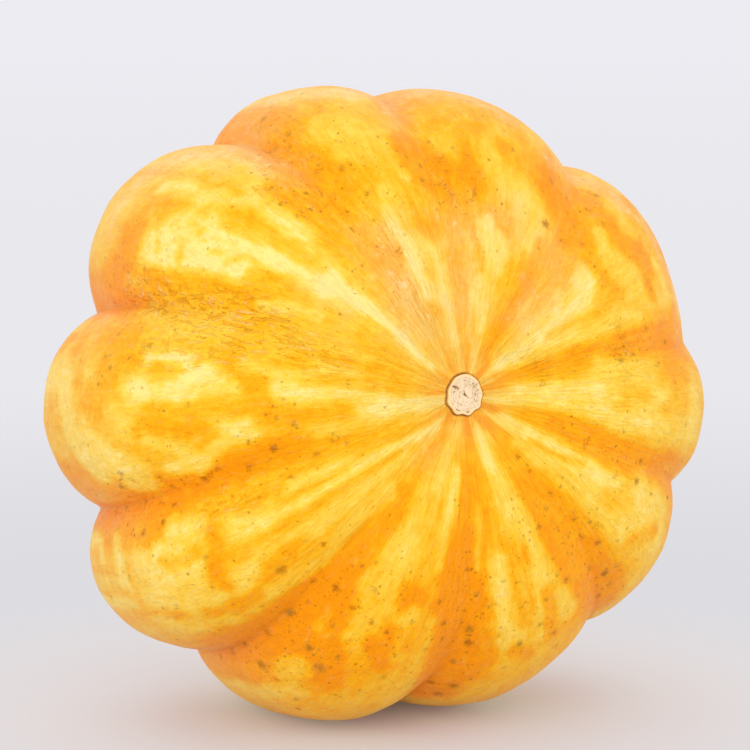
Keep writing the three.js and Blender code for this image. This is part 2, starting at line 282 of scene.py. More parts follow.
# ---- colour fields on the skin ---------------------------------------------------
# Streaks on the stem side, listed one by one. One row each: tone (0 deep orange, 1 pale
# yellow), half width at its start and end in mm, then rib count and degrees from the
# stem for each of its points.
# Some pale rows at the rim and over the wrinkled furrow zones are painted sheen as well as skin tone.
STREAKS = [
    (0.60, 4.7, 4.7, 3.65, 109, 3.65, 95, 3.55, 91, 3.39, 90, 3.29, 85, 3.29, 99),
    (0.62, 2.9, 2.9, 3.35, 76, 3.29, 65, 3.28, 54),
    (0.85, 2.1, 2.1, 3.50, 74, 3.47, 64, 3.40, 55, 3.31, 50),
    (0.90, 2.1, 2.1, 3.47, 78, 3.46, 70),
    (0.40, 1.3, 1.3, 3.39, 104, 3.39, 90, 3.39, 77, 3.37, 65, 3.36, 55),
    (0.25, 1.3, 1.3, 3.53, 75, 3.54, 66),
    (0.30, 1.1, 1.1, 3.54, 74, 3.60, 72, 3.67, 73),
    (0.35, 1.2, 1.2, 3.71, 78, 3.65, 76, 3.58, 74),
    (0.38, 1.4, 1.4, 3.54, 59, 3.49, 53, 3.45, 47, 3.44, 43),
    (0.25, 1.2, 1.2, 3.48, 51, 3.45, 45),
    (0.38, 0.8, 0.8, 3.55, 53, 3.51, 47),
    (0.85, 3.6, 3.1, 3.77, 72, 3.66, 64, 3.60, 56),
    (1.00, 3.5, 2.3, 3.77, 66, 3.75, 55, 3.75, 45, 3.78, 42),
    (0.95, 2.3, 2.3, 3.65, 54, 3.64, 45, 3.60, 36, 3.59, 27),
    (0.88, 2.4, 1.0, 3.37, 44, 3.37, 37, 3.39, 29, 3.44, 19.6, 3.51, 10.9, 3.63, 4.1),
    (1.00, 1.5, 1.3, 3.49, 26, 3.51, 21, 3.52, 15.2),
    (0.80, 1.1, 0.9, 3.65, 31, 3.59, 23),
    (0.50, 1.0, 1.0, 3.54, 45, 3.51, 39, 3.50, 33),
    (0.55, 0.9, 0.9, 3.50, 36, 3.50, 29),
    (0.25, 2.9, 2.9, 3.91, 71, 3.91, 53, 3.90, 41),
    (0.08, 4.7, 4.0, 3.95, 107, 3.95, 93, 3.88, 88, 3.81, 83, 3.73, 82),
    (0.70, 1.1, 1.1, 3.90, 36, 3.85, 30, 3.83, 25),
    (0.32, 1.7, 1.5, 3.77, 40, 3.73, 33, 3.75, 28),
    (0.12, 5.0, 5.0, 2.83, 106, 2.83, 92, 2.85, 76, 2.93, 61),
    (0.18, 4.9, 4.9, 2.99, 69, 2.99, 53, 2.95, 41),
    (0.25, 3.4, 3.4, 3.22, 48, 3.17, 40, 3.11, 33),
    (0.60, 3.3, 3.3, 2.61, 109, 2.61, 95, 2.56, 80, 2.15, 64, 2.15, 78),
    (0.30, 1.5, 1.5, 2.68, 68, 2.63, 65),
    (0.65, 3.4, 3.4, 2.67, 57, 2.50, 50, 2.34, 46),
    (0.55, 1.9, 1.9, 2.70, 48, 2.50, 43),
    (0.75, 1.2, 1.2, 2.34, 46, 2.31, 40, 2.32, 36),
    (0.70, 1.5, 1.5, 2.59, 34, 2.67, 29, 2.75, 25),
    (0.30, 5.3, 3.4, 3.18, 30, 3.15, 23, 3.06, 17.0),
    (0.30, 3.5, 1.5, 3.28, 23, 3.25, 13.5, 3.15, 6.4, 2.98, 2.6),
    (0.90, 1.7, 1.1, 2.63, 24, 2.66, 20, 2.67, 16.4, 2.68, 12.9),
    (0.50, 1.4, 1.4, 2.47, 32, 2.52, 25),
    (0.80, 1.2, 0.7, 2.40, 22, 2.30, 16.1, 2.29, 11.2, 2.25, 4.8),
    (0.30, 3.8, 3.8, 2.18, 58, 1.90, 62, 1.68, 56),
    (0.55, 3.0, 3.0, 1.77, 63, 1.60, 53),
    (0.12, 4.5, 4.1, 2.13, 44, 2.00, 36, 1.84, 32),
    (0.65, 2.3, 2.3, 1.61, 49, 1.62, 40),
    (0.65, 3.4, 3.4, 1.52, 37, 1.41, 35, 1.33, 31, 1.29, 25),
    (0.30, 2.5, 2.5, 1.53, 46, 1.42, 43),
    (0.30, 4.2, 4.2, 2.20, 26, 1.87, 25, 1.55, 25),
    (0.30, 1.9, 1.1, 2.00, 17.8, 1.99, 11.1, 1.91, 4.2),
    (0.88, 1.6, 1.6, 1.65, 24, 1.61, 19.6, 1.56, 17.0),
    (0.75, 1.5, 0.8, 1.65, 14.3, 1.69, 11.1, 1.54, 7.0),
    (0.80, 0.8, 0.8, 1.54, 23, 1.47, 19.3),
    (0.60, 0.8, 0.8, 1.85, 22, 1.81, 19.3),
    (0.00, 0.8, 0.8, 1.15, 25, 1.13, 21),
    (0.05, 0.7, 0.7, 1.13, 17.5, 1.13, 13.5, 1.21, 9.4),
    (0.15, 1.7, 1.0, 1.15, 19.3, 1.16, 10.5, 1.15, 4.2),
    (0.30, 5.3, 4.7, 2.06, 74, 2.06, 60, 1.86, 64, 1.74, 60, 1.69, 54),
    (0.12, 2.8, 2.4, 2.15, 39, 1.95, 34, 1.90, 30),
    (0.60, 0.4, 0.7, 3.65, 67, 3.74, 61, 3.81, 61),
    (0.62, 0.4, 0.4, 3.64, 58, 3.70, 53, 3.70, 50),
    (0.62, 0.4, 0.6, 3.75, 48, 3.66, 44, 3.67, 40),
    (0.58, 0.6, 0.6, 3.53, 46, 3.52, 37, 3.55, 30),
    (0.66, 0.5, 0.5, 3.61, 77, 3.70, 70, 3.77, 69),
    (0.60, 0.8, 0.8, 3.40, 72, 3.37, 63, 3.29, 59),
    (0.42, 1.0, 1.0, 3.47, 99, 3.47, 85, 3.40, 78, 3.38, 67),
    (0.66, 0.6, 0.4, 3.50, 61, 3.42, 53, 3.39, 47),
    (0.28, 6.8, 5.6, 1.18, 45, 0.98, 44, 0.83, 36),
    (0.12, 4.7, 3.9, 1.20, 43, 1.10, 38, 0.95, 33, 0.88, 29),
    (0.14, 4.1, 4.1, 0.90, 47, 0.81, 46, 0.65, 43, 0.49, 44),
    (0.30, 3.8, 3.8, 1.00, 24, 0.87, 24, 0.75, 29),
    (0.42, 5.3, 4.7, 0.60, 53, 0.43, 51, 0.28, 52, 0.14, 50),
    (0.66, 1.5, 1.7, 0.80, 38, 0.73, 35, 0.70, 35),
    (0.55, 2.0, 2.0, 0.80, 52, 0.71, 48, 0.65, 47),
    (0.66, 2.2, 2.8, 0.64, 36, 0.53, 36, 0.38, 39, 0.27, 41),
    (0.62, 2.2, 2.5, 0.57, 31, 0.41, 33, 0.27, 39, 0.20, 47),
    (0.68, 1.3, 1.7, 0.43, 51, 0.33, 52, 0.22, 52),
    (0.10, 1.6, 1.9, 0.70, 40, 0.63, 42, 0.51, 48, 0.43, 46),
    (0.08, 1.6, 1.6, 0.36, 43, 0.30, 43),
    (0.14, 0.8, 0.8, 1.03, 29, 0.98, 29),
    (0.12, 0.9, 0.9, 0.88, 32, 0.84, 32),
    (0.26, 1.9, 1.5, 0.65, 29, 0.49, 30, 0.40, 32),
    (0.50, 1.4, 1.4, 0.30, 30, 0.22, 38, 0.15, 49),
    (0.85, 1.0, 2.6, 0.55, 4.4, 0.52, 9.7, 0.55, 16.1, 0.57, 22, 0.64, 25),
    (0.35, 0.9, 0.9, 0.47, 13.2, 0.40, 18.2, 0.40, 25, 0.40, 31),
    (0.70, 1.1, 1.5, 0.40, 5.8, 0.32, 11.4, 0.28, 18.4, 0.25, 29, 0.20, 35),
    (0.40, 0.6, 0.6, 0.34, 8.8, 0.25, 14.0),
    (0.10, 0.9, 4.9, 0.20, 3.9, 0.08, 9.9, 0.05, 17.2, 0.02, 24, 0.04, 33, 0.05, 52),
    (0.30, 0.8, 1.2, 9.85, 2.7, 9.79, 7.7, 9.85, 11.7, 9.87, 17.3),
    (0.78, 1.0, 3.1, 9.26, 2.1, 9.49, 6.2, 9.55, 12.1, 9.56, 19.6),
    (0.72, 6.2, 7.6, 9.51, 22, 9.45, 29, 9.45, 37),
    (0.66, 3.0, 3.0, 9.78, 21, 9.79, 30, 9.75, 35),
    (0.86, 1.2, 1.6, 9.60, 6.2, 9.62, 12.1, 9.62, 19.6),
    (0.76, 4.0, 4.7, 9.28, 49, 9.44, 52, 9.57, 49),
    (0.80, 2.1, 2.6, 9.33, 19.9, 9.28, 28, 9.22, 38),
    (0.45, 1.2, 1.2, 9.61, 26, 9.58, 32),
    (0.36, 2.9, 2.9, 9.76, 38, 9.68, 43, 9.55, 45),
    (0.28, 2.7, 2.7, 9.83, 40, 9.78, 49),
    (0.45, 1.8, 1.8, 9.49, 38, 9.52, 43),
    (0.52, 1.1, 1.1, 9.46, 24, 9.46, 26),
    (0.28, 0.6, 1.6, 8.90, 2.4, 9.05, 6.7, 9.07, 13.2),
    (0.12, 2.0, 5.6, 9.06, 12.3, 9.02, 22, 9.00, 36, 9.01, 49),
    (0.02, 3.3, 2.7, 9.03, 42, 9.03, 55, 8.96, 56),
    (0.78, 0.8, 1.6, 8.53, 2.7, 8.56, 5.0, 8.57, 8.2, 8.61, 12.1),
    (0.72, 2.2, 5.3, 8.43, 11.5, 8.45, 16.7, 8.47, 24, 8.45, 34, 8.40, 42),
    (0.76, 4.7, 4.7, 8.69, 38, 8.68, 46, 8.50, 51),
    (0.85, 1.0, 1.2, 8.56, 4.4, 8.62, 9.0, 8.69, 12.8),
    (0.84, 1.1, 1.5, 8.61, 12.6, 8.65, 18.9, 8.65, 24, 8.68, 30),
    (0.64, 1.2, 1.5, 8.20, 7.9, 8.26, 13.7, 8.28, 18.4),
    (0.38, 0.5, 0.6, 8.46, 9.4, 8.55, 14.9, 8.65, 19.6),
    (0.48, 1.9, 1.9, 8.49, 28, 8.58, 33),
    (0.28, 1.9, 1.9, 8.37, 42, 8.50, 46, 8.58, 48),
    (0.52, 4.7, 4.7, 8.23, 46, 8.27, 55),
    (0.26, 0.7, 2.2, 8.04, 2.9, 7.90, 6.4, 7.89, 10.6, 7.84, 15.3),
    (0.12, 3.4, 7.7, 7.85, 14.6, 7.87, 24, 7.95, 36, 7.97, 46),
    (0.03, 5.0, 4.4, 8.00, 45, 8.03, 58),
    (0.72, 0.8, 2.0, 7.60, 2.9, 7.49, 6.2, 7.46, 10.3, 7.47, 14.3),
    (0.68, 1.9, 2.5, 7.48, 14.0, 7.52, 18.9, 7.55, 25, 7.60, 33),
    (0.86, 0.8, 1.0, 7.48, 3.5, 7.40, 6.2, 7.38, 8.8),
    (0.30, 1.6, 1.8, 7.20, 15.8, 7.25, 19.2, 7.33, 23, 7.36, 25),
    (0.55, 0.6, 0.6, 7.11, 11.2, 7.07, 17.8, 7.06, 25),
    (0.76, 1.9, 3.2, 7.23, 24, 7.24, 30, 7.25, 38, 7.32, 45),
    (0.25, 0.7, 0.9, 7.50, 23, 7.48, 29, 7.49, 35, 7.46, 41),
    (0.28, 0.7, 1.1, 7.35, 28, 7.39, 34, 7.41, 40),
    (0.66, 1.5, 1.5, 7.56, 29, 7.56, 37, 7.54, 46),
    (0.20, 1.4, 2.3, 7.60, 35, 7.62, 42, 7.65, 53),
    (0.62, 1.8, 2.1, 7.71, 39, 7.75, 46),
    (0.35, 2.7, 2.7, 7.69, 54, 7.80, 55),
    (0.45, 3.3, 3.3, 7.25, 53, 7.43, 55, 7.59, 56),
    (0.25, 1.5, 1.5, 7.13, 32, 7.17, 39, 7.22, 46),
    (0.15, 1.7, 1.7, 7.37, 48, 7.46, 52),
    (0.22, 0.6, 1.7, 7.11, 2.2, 7.05, 5.6, 7.01, 9.7),
    (0.14, 2.9, 4.1, 7.01, 9.7, 6.94, 16.0, 6.92, 22),
    (0.04, 4.5, 7.7, 6.90, 22, 6.92, 29, 6.97, 39, 7.03, 50),
    (0.00, 6.9, 4.0, 7.03, 52, 7.06, 62, 7.05, 70),
    (0.50, 0.5, 0.6, 7.07, 13.7, 7.06, 18.7, 7.05, 25),
    (0.72, 0.8, 1.6, 6.53, 2.7, 6.50, 5.8, 6.45, 9.9, 6.41, 13.5),
    (0.68, 1.5, 2.7, 6.41, 13.5, 6.37, 18.1, 6.36, 22, 6.32, 25),
    (0.70, 3.1, 2.7, 6.35, 24, 6.35, 28, 6.35, 34),
    (0.62, 2.0, 1.8, 6.34, 35, 6.35, 42, 6.37, 47),
    (0.60, 1.1, 1.1, 6.19, 37, 6.20, 32, 6.25, 28),
    (0.78, 0.9, 1.3, 6.69, 8.2, 6.68, 11.8, 6.67, 16.3, 6.66, 20, 6.66, 24),
    (0.50, 1.7, 1.7, 6.56, 21, 6.60, 25, 6.60, 29),
    (0.35, 0.5, 0.5, 6.39, 12.8, 6.41, 16.4, 6.40, 19.2),
    (0.32, 0.5, 0.5, 6.56, 12.9, 6.55, 15.5),
    (0.35, 2.1, 2.1, 6.49, 30, 6.65, 29),
    (0.12, 1.9, 1.9, 6.56, 31, 6.54, 36, 6.53, 42, 6.55, 48),
    (0.62, 1.7, 1.7, 6.56, 36, 6.60, 35),
    (0.45, 2.2, 2.2, 6.63, 44, 6.67, 41),
    (0.55, 1.5, 1.8, 6.75, 36, 6.77, 42, 6.80, 50, 6.80, 58),
    (0.42, 2.8, 2.8, 6.45, 47, 6.48, 54),
    (0.12, 1.4, 1.4, 6.45, 43, 6.58, 49),
    (0.50, 3.0, 3.0, 6.51, 64, 6.64, 60, 6.75, 58),
    (0.05, 4.1, 4.5, 6.13, 40, 6.11, 49, 6.11, 60),
    (0.10, 3.2, 3.2, 6.30, 51, 6.35, 58),
    (0.12, 4.0, 4.0, 6.04, 105, 6.04, 91, 6.15, 90, 6.15, 104),
    (0.04, 6.7, 6.7, 5.98, 84, 5.98, 70, 6.08, 71),
    (0.14, 4.0, 4.0, 6.12, 80, 6.16, 73),
    (0.62, 2.3, 2.3, 6.22, 101, 6.22, 87, 6.26, 77, 6.30, 69),
    (0.58, 2.3, 2.3, 6.20, 65, 6.23, 60),
    (0.60, 1.2, 1.2, 6.15, 43, 6.16, 47),
    (0.45, 2.7, 2.7, 6.32, 100, 6.32, 86, 6.45, 78, 6.58, 70, 6.58, 84),
    (0.25, 0.6, 1.7, 6.30, 2.4, 6.17, 5.4, 6.10, 9.7, 6.07, 14.4),
    (0.14, 2.2, 3.7, 6.08, 15.3, 6.06, 21, 6.05, 28, 6.04, 35),
    (0.04, 4.5, 4.9, 6.04, 35, 6.03, 44, 6.00, 56, 5.95, 66, 5.95, 80),
    (0.00, 4.0, 2.7, 5.95, 83, 5.95, 69, 5.90, 78, 5.90, 92),
    (0.90, 0.8, 1.5, 5.88, 3.0, 5.50, 7.3, 5.39, 12.8, 5.35, 19.8, 5.37, 27, 5.37, 34),
    (0.82, 1.7, 2.6, 5.37, 34, 5.35, 39, 5.31, 44),
    (0.70, 1.4, 2.0, 5.70, 10.3, 5.63, 15.5, 5.60, 23, 5.60, 30),
    (0.72, 1.2, 1.8, 5.61, 31, 5.55, 38, 5.55, 44, 5.60, 49),
    (0.62, 2.0, 2.0, 5.86, 16.4, 5.81, 22, 5.81, 27),
    (0.35, 0.6, 1.0, 5.54, 10.9, 5.45, 18.4, 5.44, 25, 5.44, 31, 5.44, 39, 5.43, 46, 5.43, 53),
    (0.74, 0.8, 1.1, 5.25, 18.4, 5.20, 22, 5.19, 28, 5.22, 32, 5.24, 36),
    (0.40, 0.6, 0.6, 5.31, 19.9, 5.29, 25, 5.30, 30, 5.30, 34),
    (0.30, 2.4, 2.4, 5.09, 50, 5.15, 41, 5.18, 35),
    (0.32, 2.1, 2.1, 5.67, 35, 5.65, 42, 5.70, 47),
    (0.50, 1.2, 1.5, 5.88, 30, 5.91, 34, 5.86, 40, 5.80, 46),
    (0.62, 1.6, 1.6, 5.70, 51, 5.79, 47),
    (0.78, 1.7, 1.7, 5.63, 51, 5.60, 47),
    (0.14, 5.3, 5.3, 5.06, 104, 5.06, 90, 5.12, 79, 5.20, 70),
    (0.30, 2.6, 2.6, 5.22, 79, 5.28, 71),
    (0.85, 2.1, 2.1, 5.18, 61, 5.23, 53),
    (0.85, 2.1, 2.1, 5.27, 68, 5.28, 61),
    (0.82, 3.8, 3.6, 5.31, 75, 5.39, 67, 5.44, 60),
    (0.74, 3.2, 2.6, 5.45, 76, 5.53, 68, 5.55, 62),
    (0.84, 1.9, 1.9, 5.37, 59, 5.41, 56),
    (0.40, 0.9, 0.9, 5.31, 67, 5.35, 60, 5.35, 52),
    (0.25, 1.6, 1.6, 5.25, 50, 5.38, 51, 5.48, 55, 5.58, 54),
    (0.75, 1.6, 1.6, 5.59, 61, 5.63, 57),
    (0.15, 1.7, 1.7, 5.68, 63, 5.71, 58, 5.74, 50),
    (0.55, 1.4, 1.4, 5.68, 68, 5.80, 60),
    (0.50, 2.0, 2.0, 5.14, 109, 5.14, 95, 5.24, 99, 5.40, 101, 5.54, 97, 5.54, 111),
    (0.80, 1.3, 1.3, 5.13, 106, 5.13, 92, 5.24, 91, 5.36, 90, 5.36, 104),
    (0.82, 2.3, 2.7, 5.17, 85, 5.29, 84, 5.44, 85, 5.44, 99),
    (0.35, 0.7, 0.7, 5.27, 104, 5.27, 90, 5.39, 90, 5.39, 104),
    (0.40, 1.0, 1.0, 5.39, 100, 5.39, 86, 5.45, 81),
    (0.30, 1.3, 1.3, 5.53, 100, 5.53, 86, 5.55, 75, 5.61, 70),
    (0.65, 1.7, 1.7, 5.58, 81, 5.65, 75, 5.72, 70),
    (0.30, 1.7, 1.7, 5.60, 113, 5.60, 99, 5.73, 92, 5.81, 79, 5.81, 93),
    (0.28, 0.6, 2.5, 5.48, 2.1, 5.34, 5.8, 5.10, 12.0, 4.97, 20, 4.92, 28),
    (0.06, 2.9, 4.0, 4.92, 28, 4.91, 35, 4.94, 44, 4.98, 54, 4.99, 67),
    (0.02, 5.0, 3.3, 5.00, 67, 4.99, 82, 5.00, 97, 5.00, 111),
    (0.62, 2.1, 2.1, 4.90, 71, 4.93, 67),
    (0.60, 1.3, 1.3, 4.84, 67, 4.85, 65),
    (0.14, 3.3, 3.3, 4.79, 104, 4.79, 90, 4.84, 86, 4.90, 83, 4.90, 97),
    (0.28, 4.0, 4.0, 4.08, 98, 4.08, 84, 4.18, 72, 4.25, 66),
    (0.08, 4.0, 3.3, 3.99, 110, 3.99, 96, 3.98, 86, 4.00, 79, 4.00, 93),
    (0.60, 1.7, 1.7, 4.11, 106, 4.11, 92, 4.24, 93, 4.37, 96, 4.37, 110),
    (0.20, 1.0, 1.0, 4.18, 102, 4.18, 88, 4.26, 90, 4.35, 90, 4.35, 104),
    (0.35, 1.3, 1.3, 4.36, 108, 4.36, 94, 4.45, 95, 4.56, 96, 4.56, 110),
    (0.82, 3.0, 3.3, 4.35, 104, 4.35, 90, 4.47, 89, 4.60, 88, 4.70, 86, 4.77, 82),
    (0.66, 1.9, 1.9, 4.33, 80, 4.45, 79),
    (0.28, 2.9, 2.7, 4.20, 79, 4.31, 72, 4.45, 71),
    (0.30, 1.7, 1.3, 4.38, 85, 4.40, 83),
    (0.24, 2.7, 2.7, 4.48, 79, 4.53, 76, 4.59, 79),
    (0.62, 2.8, 2.8, 4.55, 69, 4.63, 66),
    (0.80, 4.3, 3.0, 4.65, 82, 4.73, 78, 4.80, 68),
    (0.50, 2.6, 2.6, 4.20, 61, 4.19, 51, 4.21, 43),
    (0.90, 2.9, 2.7, 4.45, 63, 4.49, 55, 4.45, 48, 4.39, 43),
    (1.00, 1.0, 1.2, 4.30, 60, 4.29, 54, 4.31, 49),
    (1.00, 1.3, 1.1, 4.40, 49, 4.36, 45),
    (1.00, 1.5, 1.5, 4.45, 62, 4.45, 60),
    (0.80, 1.3, 1.3, 4.47, 44, 4.45, 38),
    (0.25, 2.4, 2.2, 4.38, 35, 4.48, 32, 4.58, 31),
    (0.30, 1.5, 1.5, 4.31, 40, 4.35, 36),
    (0.35, 1.2, 1.2, 4.55, 60, 4.55, 54, 4.58, 50),
    (0.22, 2.0, 1.8, 4.65, 62, 4.65, 56, 4.69, 51),
    (0.20, 1.4, 1.4, 4.65, 48, 4.69, 46),
    (0.36, 0.8, 0.8, 4.55, 49, 4.55, 43),
    (0.28, 1.2, 1.2, 4.78, 46, 4.76, 43),
    (0.80, 1.3, 1.5, 4.70, 61, 4.75, 55, 4.81, 51, 4.87, 47),
    (0.84, 1.6, 1.6, 4.85, 56, 4.88, 49),
    (0.45, 0.9, 1.1, 4.69, 71, 4.73, 65, 4.78, 58, 4.80, 55),
    (0.88, 2.1, 2.1, 4.71, 39, 4.70, 36),
    (0.70, 1.2, 1.2, 4.82, 45, 4.77, 41),
    (0.66, 1.0, 1.0, 4.30, 36, 4.34, 31, 4.34, 25, 4.26, 19.9, 4.23, 14.7),
    (0.86, 1.8, 1.0, 4.47, 29, 4.49, 22, 4.48, 16.0, 4.59, 10.3, 4.72, 5.6, 4.80, 2.1),
    (0.90, 1.5, 1.1, 4.69, 14.6, 4.78, 9.6, 4.80, 4.8),
    (0.70, 0.9, 0.9, 4.58, 26, 4.59, 19.8),
    (0.42, 0.5, 0.5, 4.40, 25, 4.38, 18.1, 4.44, 11.4),
    (0.26, 2.5, 1.2, 3.84, 15.3, 3.89, 8.5, 3.93, 3.3),
    (0.20, 1.1, 1.1, 4.15, 18.4, 4.17, 11.2, 4.25, 4.5),
    (0.55, 1.2, 1.2, 4.82, 22, 4.80, 16.4),
    (0.28, 1.5, 1.5, 4.65, 33, 4.67, 25, 4.69, 17.2),
    (0.05, 0.4, 0.4, 4.35, 1.9, 4.45, 3.5),
    (0.08, 0.4, 0.4, 3.52, 1.9, 3.55, 3.3),
    (0.08, 0.4, 0.4, 2.88, 2.1, 2.89, 3.3),
    (0.08, 0.4, 0.4, 1.72, 2.1, 1.79, 3.6),
    (0.08, 0.5, 0.5, 0.85, 1.9, 0.86, 3.5),
    (0.70, 0.4, 0.4, 1.31, 2.1, 1.45, 3.6),
    (0.75, 0.4, 0.4, 9.37, 1.9, 9.45, 3.6),
    (0.08, 0.4, 0.4, 9.95, 1.8, 9.94, 3.5),
    (0.05, 0.6, 0.5, 8.69, 1.8, 8.75, 3.5),
    (0.05, 0.5, 0.5, 7.80, 1.9, 7.79, 3.5),
    (0.08, 0.5, 0.5, 7.00, 1.8, 7.03, 3.3),
    (0.08, 0.5, 0.5, 6.04, 1.8, 6.05, 3.3),
]
